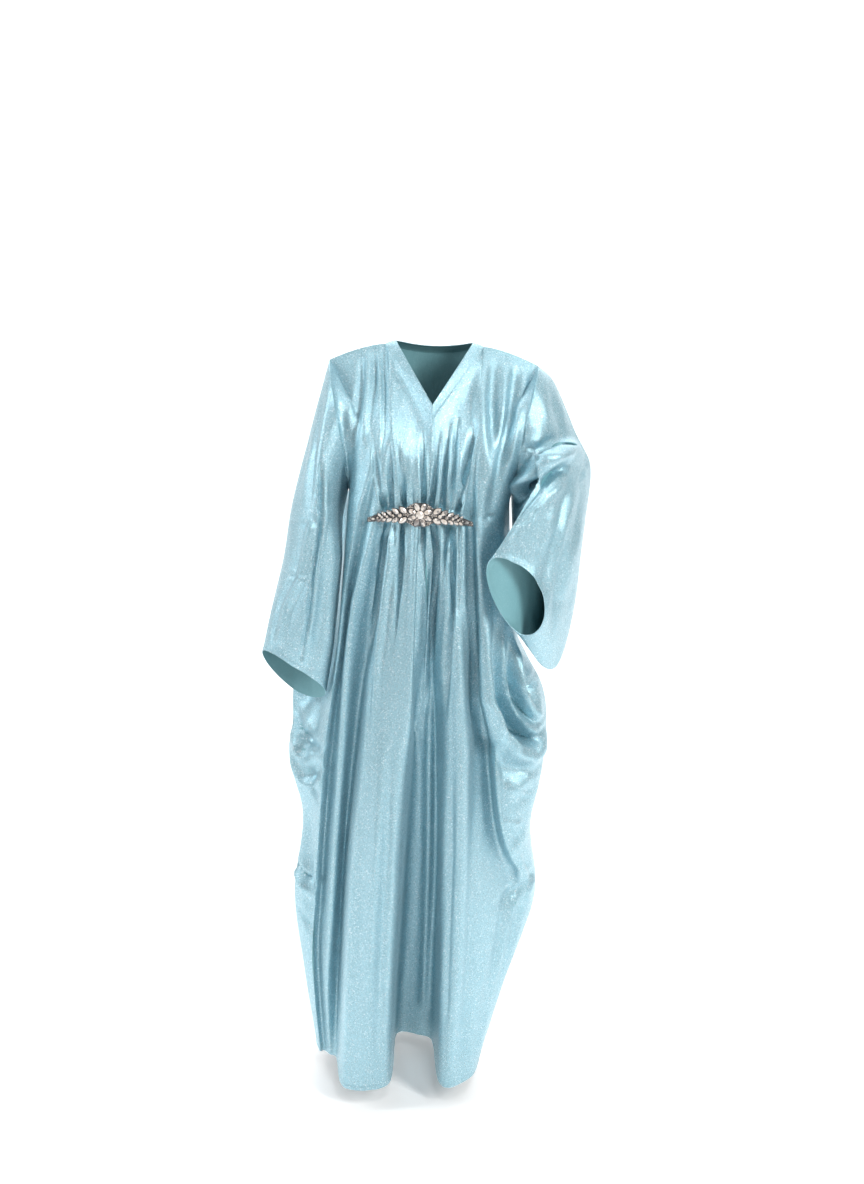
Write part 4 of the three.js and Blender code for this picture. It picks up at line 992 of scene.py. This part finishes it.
def wall_mesh(name, grid, normals, closed):
    """Thin wall from a grid: outer side, inner side and its open edges."""
    rows, columns = grid.shape[:2]
    inner = grid - normals * CLOTH
    points = np.concatenate([grid.reshape(-1, 3), inner.reshape(-1, 3)]) * MM
    index = np.arange(rows * columns).reshape(rows, columns)
    around_grid = grid
    if closed:
        index = np.concatenate([index, index[:, :1]], axis=1)
        around_grid = np.concatenate([grid, grid[:, :1]], axis=1)
    across = lengths_along(around_grid, 1)
    middle = across[:, across.shape[1] // 2][:, None]
    thread_map = np.stack([across - middle, -lengths_along(around_grid, 0)], axis=-1) * MM
    corners = [(slice(None, -1), slice(None, -1)), (slice(1, None), slice(None, -1)),
               (slice(1, None), slice(1, None)), (slice(None, -1), slice(1, None))]
    outer_quads = np.stack([index[corner] for corner in corners], axis=-1).reshape(-1, 4)
    outer_map = np.stack([thread_map[corner] for corner in corners], axis=-2).reshape(-1, 4, 2)
    deep = rows * columns
    quads = [outer_quads, outer_quads[:, ::-1] + deep]
    maps = [outer_map, outer_map[:, ::-1]]

    def close(edge, edge_map):
        """Strip between the outer and the inner side along one open edge."""
        strip = np.stack([edge[:-1], edge[1:], edge[1:] + deep, edge[:-1] + deep], axis=-1)
        quads.append(strip)
        maps.append(np.stack([edge_map[:-1], edge_map[1:], edge_map[1:], edge_map[:-1]], axis=1))

    close(index[0], thread_map[0])
    close(index[-1][::-1], thread_map[-1][::-1])
    if not closed:
        close(index[:, 0][::-1], thread_map[:, 0][::-1])
        close(index[:, -1], thread_map[:, -1])
    faces = np.concatenate(quads)
    mesh = bpy.data.meshes.new(name)
    mesh.from_pydata(points.tolist(), [], faces.tolist())
    layer = mesh.uv_layers.new(name="threads")
    layer.data.foreach_set("uv", np.concatenate(maps).reshape(-1))
    side = np.zeros(len(faces), dtype=np.int32)
    side[len(outer_quads):2 * len(outer_quads)] = 1
    mesh.materials.append(satin)
    mesh.materials.append(shaded_satin_inside)
    mesh.polygons.foreach_set("material_index", side)
    mesh.polygons.foreach_set("use_smooth", np.ones(len(faces), dtype=bool))
    mesh.set_sharp_from_angle(angle=SHARP_ANGLE)
    mesh.update()
    return mesh


def add_wall(name, grid, normals, closed):
    """Piece made of one wall."""
    piece = add_object(name, wall_mesh(name, grid, normals, closed))
    print(name, len(piece.data.polygons), "faces")
    return piece


def fold_hem(grid, normals, depth):
    """Lifts the last stretch of a grid a little, where the cloth is turned up and lies double."""
    from_edge = lengths_along(grid[::-1], 0)[::-1]
    inside = (from_edge <= depth).astype(float)
    return grid + normals * (inside * HEM["puff"])[..., None]


print("cloth is", CLOTH, "mm thick")

# %% Front, back and sleeves
front_grid = fold_hem(front_grid, front_normals, HEM["bottom"])
back_grid = fold_hem(back_grid, back_normals, HEM["bottom"])
right_grid = fold_hem(right_grid, right_normals, HEM["cuff"])
left_grid = fold_hem(left_grid, left_normals, HEM["cuff"])
front = add_wall("front", front_grid, front_normals, False)
back = add_wall("back", back_grid, back_normals, False)
sleeve_right = add_wall("sleeve_of_right_arm", right_grid, right_normals, True)
sleeve_left = add_wall("sleeve_of_left_arm", left_grid, left_normals, True)

# %% [markdown]
# ## Neckband
# The neckband is one narrow strip of doubled cloth, sewn round the neckline and pressed flat, so that it
# stands a little proud of the panels. Its grid runs round the whole neck and has a rounded free edge.

# %% Neckband
BAND = {"steps": 96, "rows": 9, "crown": 1.0, "roundness": 4, "back_share": 0.45, "look_aside": 0.02}


def band_frame(side, half, share):
    """Outward direction of the band's middle line."""
    after = neck_point(side, half, min(1.0, share + BAND["look_aside"]), 0.5)
    before = neck_point(side, half, max(0.0, share - BAND["look_aside"]), 0.5)
    across = neck_point(side, half, share, 1) - neck_point(side, half, share, 0)
    flip = 1 if half == "front" else -1
    normal = unit(np.cross(across, after - before) * side * flip)
    if share < AT_END:
        return np.array([0.0, 0.0, 1.0])
    if share > 1 - AT_END:
        return unit(np.array([0.0, normal[1], normal[2]]))
    return normal


def band_grid():
    """Grid of the neckband round the whole neck, from its free edge to its seam, and its normals."""
    loop = []
    front_steps = int(BAND["steps"] * (1 - BAND["back_share"]))
    back_steps = BAND["steps"] - front_steps
    for half, steps, start in (("front", front_steps, -1), ("back", back_steps, 1)):
        for i in range(2 * steps):
            share = i / steps if i <= steps else 2 - i / steps
            loop.append((start if i < steps else -start, half, share))
    first_inset = SEAM / (NECK_SEAM["half"] - NECK_EDGE["half"])
    normals = np.array([band_frame(*place) for place in loop])
    rows = []
    for r in range(BAND["rows"]):
        inset = 1 + (first_inset - 1) * r / (BAND["rows"] - 1)
        crown = BAND["crown"] * (1 - abs(2 * inset - 1) ** BAND["roundness"])
        points = np.array([neck_point(*place, inset) for place in loop])
        rows.append(points + normals * crown)
    return np.array(rows), np.repeat(normals[None], BAND["rows"], axis=0)


neck_grid, neck_normals = band_grid()
neckband = add_wall("neck_binding", neck_grid, neck_normals, True)

# %% [markdown]
# ## Topstitching
# The hems and the neckband are held by a visible line of stitches. A stitch is the same everywhere, so
# Geometry Nodes lay one small thread shape along a path at an even pitch, each turned along the path.
# The paths are read from the cloth's own grids, so the stitches lie exactly on it.

# %% Stitch paths from the grids
STITCH = {"pitch": 3.2, "length": 2.3, "thread": 0.42, "lift": 0.12, "from_hem_edge": 1.5,
          "from_neck_seam": 2.6, "from_neck_edge": 2.2}


def path_on(grid, normals, from_edge):
    """Points of a line on the cloth, a distance up from its lower edge."""
    lengths = lengths_along(grid[::-1], 0)[::-1]
    row = np.abs(lengths - from_edge).argmin(axis=0)
    column = np.arange(grid.shape[1])
    return grid[row, column] + normals[row, column] * STITCH["lift"]


band_width = lengths_along(neck_grid, 0)[-1].mean()
bottom_line = HEM["bottom"] - STITCH["from_hem_edge"]
cuff_line = HEM["cuff"] - STITCH["from_hem_edge"]
stitch_paths = [
    (path_on(front_grid, front_normals, bottom_line), False),
    (path_on(back_grid, back_normals, bottom_line), False),
    (path_on(right_grid, right_normals, cuff_line), True),
    (path_on(left_grid, left_normals, cuff_line), True),
    (path_on(neck_grid, neck_normals, STITCH["from_neck_seam"]), True),
    (path_on(neck_grid, neck_normals, band_width - STITCH["from_neck_edge"]), True),
]
stitch_curve = bpy.data.curves.new("stitch paths", "CURVE")
stitch_curve.dimensions = "3D"
for path, closed in stitch_paths:
    spline = stitch_curve.splines.new("POLY")
    spline.points.add(len(path) - 1)
    flat = np.concatenate([path * MM, np.ones((len(path), 1))], axis=1)
    spline.points.foreach_set("co", flat.reshape(-1))
    spline.use_cyclic_u = closed
stitch_source = add_object("stitch paths", stitch_curve)
print("stitch paths:", len(stitch_paths))

# %% Thread material
thread, thread_tree, thread_shader = new_material("thread", {"Roughness": 0.5, "Sheen Weight": 0.3})
twist = add_node(thread_tree, "ShaderNodeTexNoise", {
    "Vector": object_place(thread_tree), "Scale": 900.0, "Detail": 2.0}).outputs["Fac"]
feed(thread_shader.inputs["Base Color"],
     blend_colours(thread_tree, twist, (0.30, 0.54, 0.61, 1), (0.44, 0.70, 0.76, 1)))
print("material:", thread.name)

# %% Geometry Nodes: one stitch repeated along each path
def run_tree(source, tree, values, name):
    """Runs a tree on an object and keeps the result as a plain mesh object."""
    modifier = source.modifiers.new("make", "NODES")
    modifier.node_group = tree
    for item in tree.interface.items_tree:
        if item.item_type == "SOCKET" and item.in_out == "INPUT" and item.name in values:
            modifier[item.identifier] = values[item.name]
    evaluated = source.evaluated_get(bpy.context.evaluated_depsgraph_get())
    mesh = bpy.data.meshes.new_from_object(evaluated)
    mesh.name = name
    source.modifiers.remove(modifier)
    bpy.data.objects.remove(source)
    return add_object(name, mesh)


stitching, taken, given = new_group("stitching", [
    ("Geometry", "IN", "Geometry", None), ("Pitch", "IN", "Float", 0.0032),
    ("Stitch Length", "IN", "Float", 0.0023), ("Thread", "IN", "Float", 0.0004),
    ("Material", "IN", "Material", None), ("Geometry", "OUT", "Geometry", None)], "GeometryNodeTree")
even = add_node(stitching, "GeometryNodeCurveToPoints", mode="LENGTH")
feed(even.inputs["Curve"], taken["Geometry"])
feed(even.inputs["Length"], taken["Pitch"])
ball = add_node(stitching, "GeometryNodeMeshIcoSphere", {"Radius": 0.5, "Subdivisions": 1})
size = add_node(stitching, "ShaderNodeCombineXYZ", {
    "X": taken["Thread"], "Y": taken["Thread"], "Z": taken["Stitch Length"]})
turned = add_node(stitching, "FunctionNodeAlignRotationToVector", {
    "Vector": even.outputs["Tangent"]}, axis="Z")
repeated = add_node(stitching, "GeometryNodeInstanceOnPoints", {
    "Points": even.outputs["Points"], "Instance": ball.outputs["Mesh"],
    "Rotation": turned.outputs["Rotation"], "Scale": size.outputs["Vector"]})
real = add_node(stitching, "GeometryNodeRealizeInstances", {"Geometry": repeated.outputs["Instances"]})
painted = add_node(stitching, "GeometryNodeSetMaterial", {
    "Geometry": real.outputs["Geometry"], "Material": taken["Material"]})
feed(given["Geometry"], painted.outputs["Geometry"])
stitches = run_tree(stitch_source, stitching, {
    "Pitch": STITCH["pitch"] * MM, "Stitch Length": STITCH["length"] * MM,
    "Thread": STITCH["thread"] * MM, "Material": thread}, "topstitching")
print("topstitching:", len(stitches.data.polygons), "faces")

# %% [markdown]
# ## Stone applique
# The applique is a thin backing that lies taut over the gathers, with cut glass stones in metal cups: a
# round stone with eight petals in the middle, and a tapering spray of leaves on both sides. It is a plain
# floral spray of its own, as many garments carry. The stones are one of two cuts, repeated at many sizes,
# so Geometry Nodes place them: each point carries its own turn and size.

# %% Sizes of the applique, in millimetres
APPLIQUE = {"centre": -16, "half_length": 95, "top": -294, "droop": 16, "backing": 1.2, "columns": 120,
            "rows": 13, "centre_half_height": 21, "arm_half_height": 16, "end_half_height": 4,
            "centre_share": 0.2, "bridge_margin": 6, "bridge_steps": 60}
ROSETTE = {"stone_radius": 8, "stone_rise": 1.5, "petals": 8, "petal_length": 16, "petal_width": 9.5,
           "petal_ring": 14.5}
SPRAY = {"steps": 5, "start": 30, "pitch": 13, "shrink": 0.86, "leaf_length": 17, "leaf_width": 9.5,
         "leaf_angle": 0.62, "leaf_rise": 9, "bead_radius": 3.6, "bead_share": 0.42, "end_gap": 4}
STONE_HEIGHT = 4.0
SEED = {"columns": 32, "rows": 7, "pitch": 2.9, "rise": 2.6, "width": 2.5, "height": 2.2,
        "from_end": 2, "from_edge": 1.4, "from_stone": 1.6}


def spine_z(x):
    """Height of the applique's middle line, which sags towards both ends."""
    return APPLIQUE["top"] - APPLIQUE["droop"] * ((x - APPLIQUE["centre"]) / APPLIQUE["half_length"]) ** 2


def backing_half_height(x):
    """Half the height of the backing, which is tallest under the round stone."""
    share = abs(x - APPLIQUE["centre"]) / APPLIQUE["half_length"]
    swell = math.exp(-((share / APPLIQUE["centre_share"]) ** 4))
    arm = between_values(APPLIQUE["arm_half_height"], APPLIQUE["end_half_height"], share)
    return arm + (APPLIQUE["centre_half_height"] - arm) * swell


def taut_line():
    """Front of the crests under the applique, with the hollows between them bridged."""
    crests = []
    margin = APPLIQUE["bridge_margin"]
    for x, y, z in front_grid.reshape(-1, 3):
        beside = abs(x - APPLIQUE["centre"]) - APPLIQUE["half_length"]
        if y < 0 and beside < margin and abs(z - spine_z(x)) < backing_half_height(x) + margin:
            crests.append((x, y))
    hull = []
    for x, y in sorted(crests):
        while len(hull) > 1 and ((hull[-1][0] - hull[-2][0]) * (y - hull[-2][1])
                                 - (hull[-1][1] - hull[-2][1]) * (x - hull[-2][0])) <= 0:
            hull.pop()
        hull.append((x, y))
    return np.array(hull)


crest_line = taut_line()
bridge_x = np.linspace(crest_line[0, 0], crest_line[-1, 0], APPLIQUE["bridge_steps"])
bridge_y = np.interp(bridge_x, crest_line[:, 0], crest_line[:, 1])


def arc_y(x):
    """How far forward the back of the applique lies: a seam's gap in front of the crests."""
    return np.interp(x, bridge_x, bridge_y) - SEAM


print("taut line over", len(crest_line), "crests")

# %% Metal and stone materials
# stone cells above this value are painted near black, a painted reflection of dark surroundings in the
# facets
DARK_REFLECTION_ABOVE = 0.66
DARK_REFLECTION_SHARE = 0.65
TARNISH_GLOSS = (0.3, 0.12)

# dark silver of the backing and the cups: its darkness is partly painted shade between the raised stones
metal, metal_tree, metal_shader = new_material("dark silver", {"Metallic": 0.9})
tarnish = add_node(metal_tree, "ShaderNodeTexNoise", {
    "Vector": object_place(metal_tree), "Scale": 320.0, "Detail": 3.0}).outputs["Fac"]
feed(metal_shader.inputs["Base Color"],
     blend_colours(metal_tree, tarnish, (0.05, 0.055, 0.065, 1), (0.34, 0.335, 0.33, 1)))
feed(metal_shader.inputs["Roughness"], calculate(metal_tree, "MULTIPLY_ADD", tarnish, *TARNISH_GLOSS))

glass, glass_tree, glass_shader = new_material("cut glass", {
    "Roughness": 0.06, "IOR": 1.75, "Metallic": 0.25, "Coat Weight": 1.0, "Coat Roughness": 0.03})
glass_cells = add_node(glass_tree, "ShaderNodeTexVoronoi", {
    "Vector": object_place(glass_tree), "Scale": 260.0})
cell_tone = add_node(glass_tree, "ShaderNodeSeparateColor", {"Color": glass_cells.outputs["Color"]})
warm = blend_colours(glass_tree, cell_tone.outputs[0], (0.93, 0.89, 0.84, 1), (0.78, 0.66, 0.56, 1))
# painted reflection: some facets of the stones are painted near black, as if they mirrored something dark
dark_reflection_cells = calculate(glass_tree, "GREATER_THAN", cell_tone.outputs[1], DARK_REFLECTION_ABOVE)
dark = calculate(glass_tree, "MULTIPLY", dark_reflection_cells, DARK_REFLECTION_SHARE)
feed(glass_shader.inputs["Base Color"], blend_colours(glass_tree, dark, warm, (0.04, 0.04, 0.055, 1)))
print("materials:", metal.name, "and", glass.name)

# %% [markdown]
# The backing is stiff cloth covered in dark metal thread. Its dark colour is partly painted shade, so that
# the gaps between the raised stones look dark.

# %% Backing
def backing_grid():
    """Front side of the backing, from its upper edge to its lower."""
    rows = []
    for share in np.linspace(1, -1, APPLIQUE["rows"]):
        row = []
        for c in range(APPLIQUE["columns"] + 1):
            x = APPLIQUE["centre"] + (2 * c / APPLIQUE["columns"] - 1) * APPLIQUE["half_length"]
            row.append((x, arc_y(x) - CLOTH, spine_z(x) + share * backing_half_height(x)))
        rows.append(row)
    return np.array(rows)


backing_points = backing_grid()
backing_normals = np.zeros_like(backing_points)
backing_normals[..., 1] = -1.0
backing = add_wall("applique_backing", backing_points, backing_normals, False)
for slot in range(len(backing.data.materials)):
    backing.data.materials[slot] = metal

# %% Two cuts of stone, each in its metal cup
GLASS_SLOT, METAL_SLOT = 0, 1
CUT_RINGS = {
    # scale of the outline and height of each ring, from the foot upwards
    METAL_SLOT: [(1.0672, -0.15), (1.16, 0.42), (1.0, 0.48), (0.96, 0.2)],
    GLASS_SLOT: [(0.94, 0.22), (0.94, 0.52), (0.76, 0.78), (0.5, 1.0)],
}


def stone_shape(name, outline):
    """Stone of unit size, 1 long, 1 wide and 1 high, with its cup. Rings of points joined by bands."""
    points, faces, slots = [], [], []
    for slot, rings in ((METAL_SLOT, CUT_RINGS[METAL_SLOT]), (GLASS_SLOT, CUT_RINGS[GLASS_SLOT])):
        drawn = []
        for scale, height in rings:
            drawn.append(range(len(points), len(points) + len(outline)))
            points += [(a * scale, b * scale, height) for a, b in outline]
        for low, high in zip(drawn[:-1], drawn[1:]):
            for i in range(len(outline)):
                n = (i + 1) % len(outline)
                faces.append((low[i], low[n], high[n], high[i]))
        faces += [tuple(reversed(drawn[0])), tuple(drawn[-1])]
        slots += [slot] * (len(faces) - len(slots))
    mesh = bpy.data.meshes.new(name)
    mesh.from_pydata(points, [], faces)
    mesh.materials.append(glass)
    mesh.materials.append(metal)
    mesh.polygons.foreach_set("material_index", np.array(slots, dtype=np.int32))
    mesh.update()
    return bpy.data.objects.new(name, mesh)


def oval_outline(count, power):
    """Outline of unit length and width. A power over 1 gives pointed ends, as on a leaf."""
    places = []
    for i in range(count):
        angle = 2 * math.pi * i / count
        width = math.copysign(abs(math.sin(angle)) ** power, math.sin(angle))
        places.append((0.5 * math.cos(angle), 0.5 * width))
    return places


round_stone = stone_shape("round stone", oval_outline(10, 1.0))
leaf_stone = stone_shape("leaf stone", oval_outline(12, 1.35))
print("cuts: round and leaf")

# %% Where each stone sits
def stone_list():
    """Rows of cut, x, rise, length, width, height and turn."""
    centre = APPLIQUE["centre"]
    middle = 2 * ROSETTE["stone_radius"]
    stones = [("round", centre, 0, middle, middle, STONE_HEIGHT * ROSETTE["stone_rise"], 0)]
    for i in range(ROSETTE["petals"]):
        turn = (i + 0.5) * 2 * math.pi / ROSETTE["petals"]
        stones.append(("leaf", centre + math.cos(turn) * ROSETTE["petal_ring"],
                       math.sin(turn) * ROSETTE["petal_ring"], ROSETTE["petal_length"],
                       ROSETTE["petal_width"], STONE_HEIGHT, turn))
    for side in (-1, 1):
        scale, reach = 1.0, SPRAY["start"]
        for _ in range(SPRAY["steps"]):
            x = centre + side * reach
            pitch, bead = SPRAY["pitch"] * scale, 2 * SPRAY["bead_radius"] * scale
            leaf = SPRAY["leaf_length"] * scale, SPRAY["leaf_width"] * scale
            for rise in (-1, 1):
                turn = (0 if side > 0 else math.pi) + side * rise * SPRAY["leaf_angle"]
                stones.append(("leaf", x, rise * SPRAY["leaf_rise"] * scale, *leaf, STONE_HEIGHT, turn))
            stones.append(("round", x + side * pitch * SPRAY["bead_share"], 0, bead, bead, STONE_HEIGHT, 0))
            reach += pitch
            scale *= SPRAY["shrink"]
        leaf = SPRAY["leaf_length"] * scale, SPRAY["leaf_width"] * scale
        stones.append(("leaf", centre + side * (reach + SPRAY["end_gap"]), 0, *leaf, STONE_HEIGHT, 0))
    return stones


def is_covered(x, rise, stones):
    """Whether a seed bead there would touch a stone. Each stone covers an oval."""
    for _, stone_x, stone_rise, length, width, _, turn in stones:
        along = (x - stone_x) * math.cos(turn) + (rise - stone_rise) * math.sin(turn)
        aside = (rise - stone_rise) * math.cos(turn) - (x - stone_x) * math.sin(turn)
        half_length, half_width = length / 2 + SEED["from_stone"], width / 2 + SEED["from_stone"]
        if (along / half_length) ** 2 + (aside / half_width) ** 2 < 1:
            return True
    return False


def seed_beads(stones):
    """Tiny beads that fill the backing between the stones, on a staggered grid."""
    beads = []
    for row in range(-SEED["rows"], SEED["rows"] + 1):
        for column in range(-SEED["columns"], SEED["columns"] + 1):
            x = APPLIQUE["centre"] + (column + 0.5 * (row % 2)) * SEED["pitch"]
            rise = row * SEED["rise"]
            inside = (abs(x - APPLIQUE["centre"]) <= APPLIQUE["half_length"] - SEED["from_end"]
                      and abs(rise) <= backing_half_height(x) - SEED["from_edge"])
            if inside and not is_covered(x, rise, stones):
                beads.append(("round", x, rise, SEED["width"], SEED["width"], SEED["height"], 0))
    return beads


stones = stone_list()
beads = seed_beads(stones)
print("stones:", len(stones), "seed beads:", len(beads))

# %% Geometry Nodes: a stone on every point, with its own turn and size
setting, taken, given = new_group("stone setting", [
    ("Geometry", "IN", "Geometry", None), ("Stone", "IN", "Object", None),
    ("Geometry", "OUT", "Geometry", None)], "GeometryNodeTree")
shape = add_node(setting, "GeometryNodeObjectInfo", {"Object": taken["Stone"]}, transform_space="ORIGINAL")
point_turn, point_size = (
    add_node(setting, "GeometryNodeInputNamedAttribute", {"Name": label}, data_type="FLOAT_VECTOR")
    for label in ("turn", "size"))
placed = add_node(setting, "GeometryNodeInstanceOnPoints", {
    "Points": taken["Geometry"], "Instance": shape.outputs["Geometry"],
    "Rotation": point_turn.outputs["Attribute"], "Scale": point_size.outputs["Attribute"]})
real = add_node(setting, "GeometryNodeRealizeInstances", {"Geometry": placed.outputs["Instances"]})
feed(given["Geometry"], real.outputs["Geometry"])


def set_stones(name, rows, shape_object):
    """Points with a turn and a size each, made into one mesh of stones."""
    points, turns, sizes = [], [], []
    for _, x, rise, length, width, height, turn in rows:
        slope = (arc_y(x + 1) - arc_y(x - 1)) / 2
        across = Vector((1, slope, 0)).normalized()
        out = Vector((slope, -1, 0)).normalized()
        seat = Vector((x, float(arc_y(x)) - APPLIQUE["backing"], spine_z(x) + rise)) * MM
        along = across * math.cos(turn) + Vector((0, 0, 1)) * math.sin(turn)
        aside = out.cross(along)
        points.append(tuple(seat))
        turns.append(tuple(Matrix((along, aside, out)).transposed().to_euler()))
        sizes.append((length * MM, width * MM, height * MM))
    mesh = bpy.data.meshes.new(name)
    mesh.from_pydata(points, [], [])
    for label, values in (("turn", turns), ("size", sizes)):
        attribute = mesh.attributes.new(label, "FLOAT_VECTOR", "POINT")
        attribute.data.foreach_set("vector", np.array(values).reshape(-1))
    return run_tree(add_object(name, mesh), setting, {"Stone": shape_object}, name)


round_set = set_stones("round_stones", [row for row in stones if row[0] == "round"], round_stone)
leaf_set = set_stones("leaf_stones", [row for row in stones if row[0] == "leaf"], leaf_stone)
bead_set = set_stones("seed_beads", beads, round_stone)
for shape_object in (round_stone, leaf_stone):
    bpy.data.objects.remove(shape_object)
stone_sets = [round_set, leaf_set, bead_set]
for piece in stone_sets:
    print(piece.name, len(piece.data.polygons), "faces")

# %% [markdown]
# ## What each piece stands for
# Every piece rides on the one body of the garment. The cloth pieces stand for the measured solids.

# %% Pieces and solids
cloth_pieces = [front, back, sleeve_right, sleeve_left, neckband]
for piece in cloth_pieces:
    outer = [polygon.area for polygon in piece.data.polygons if polygon.material_index == 0]
    print(piece.name, "outer side", round(sum(outer), 3), "square metres")
for piece, node in ((front, "front_panel"), (back, "back_panel"), (sleeve_right, "sleeve_right"),
                    (sleeve_left, "sleeve_left"), (neckband, "neckband"), (backing, "waist_applique")):
    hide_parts(node)
for piece in cloth_pieces + [stitches, backing] + stone_sets:
    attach(piece, "root")
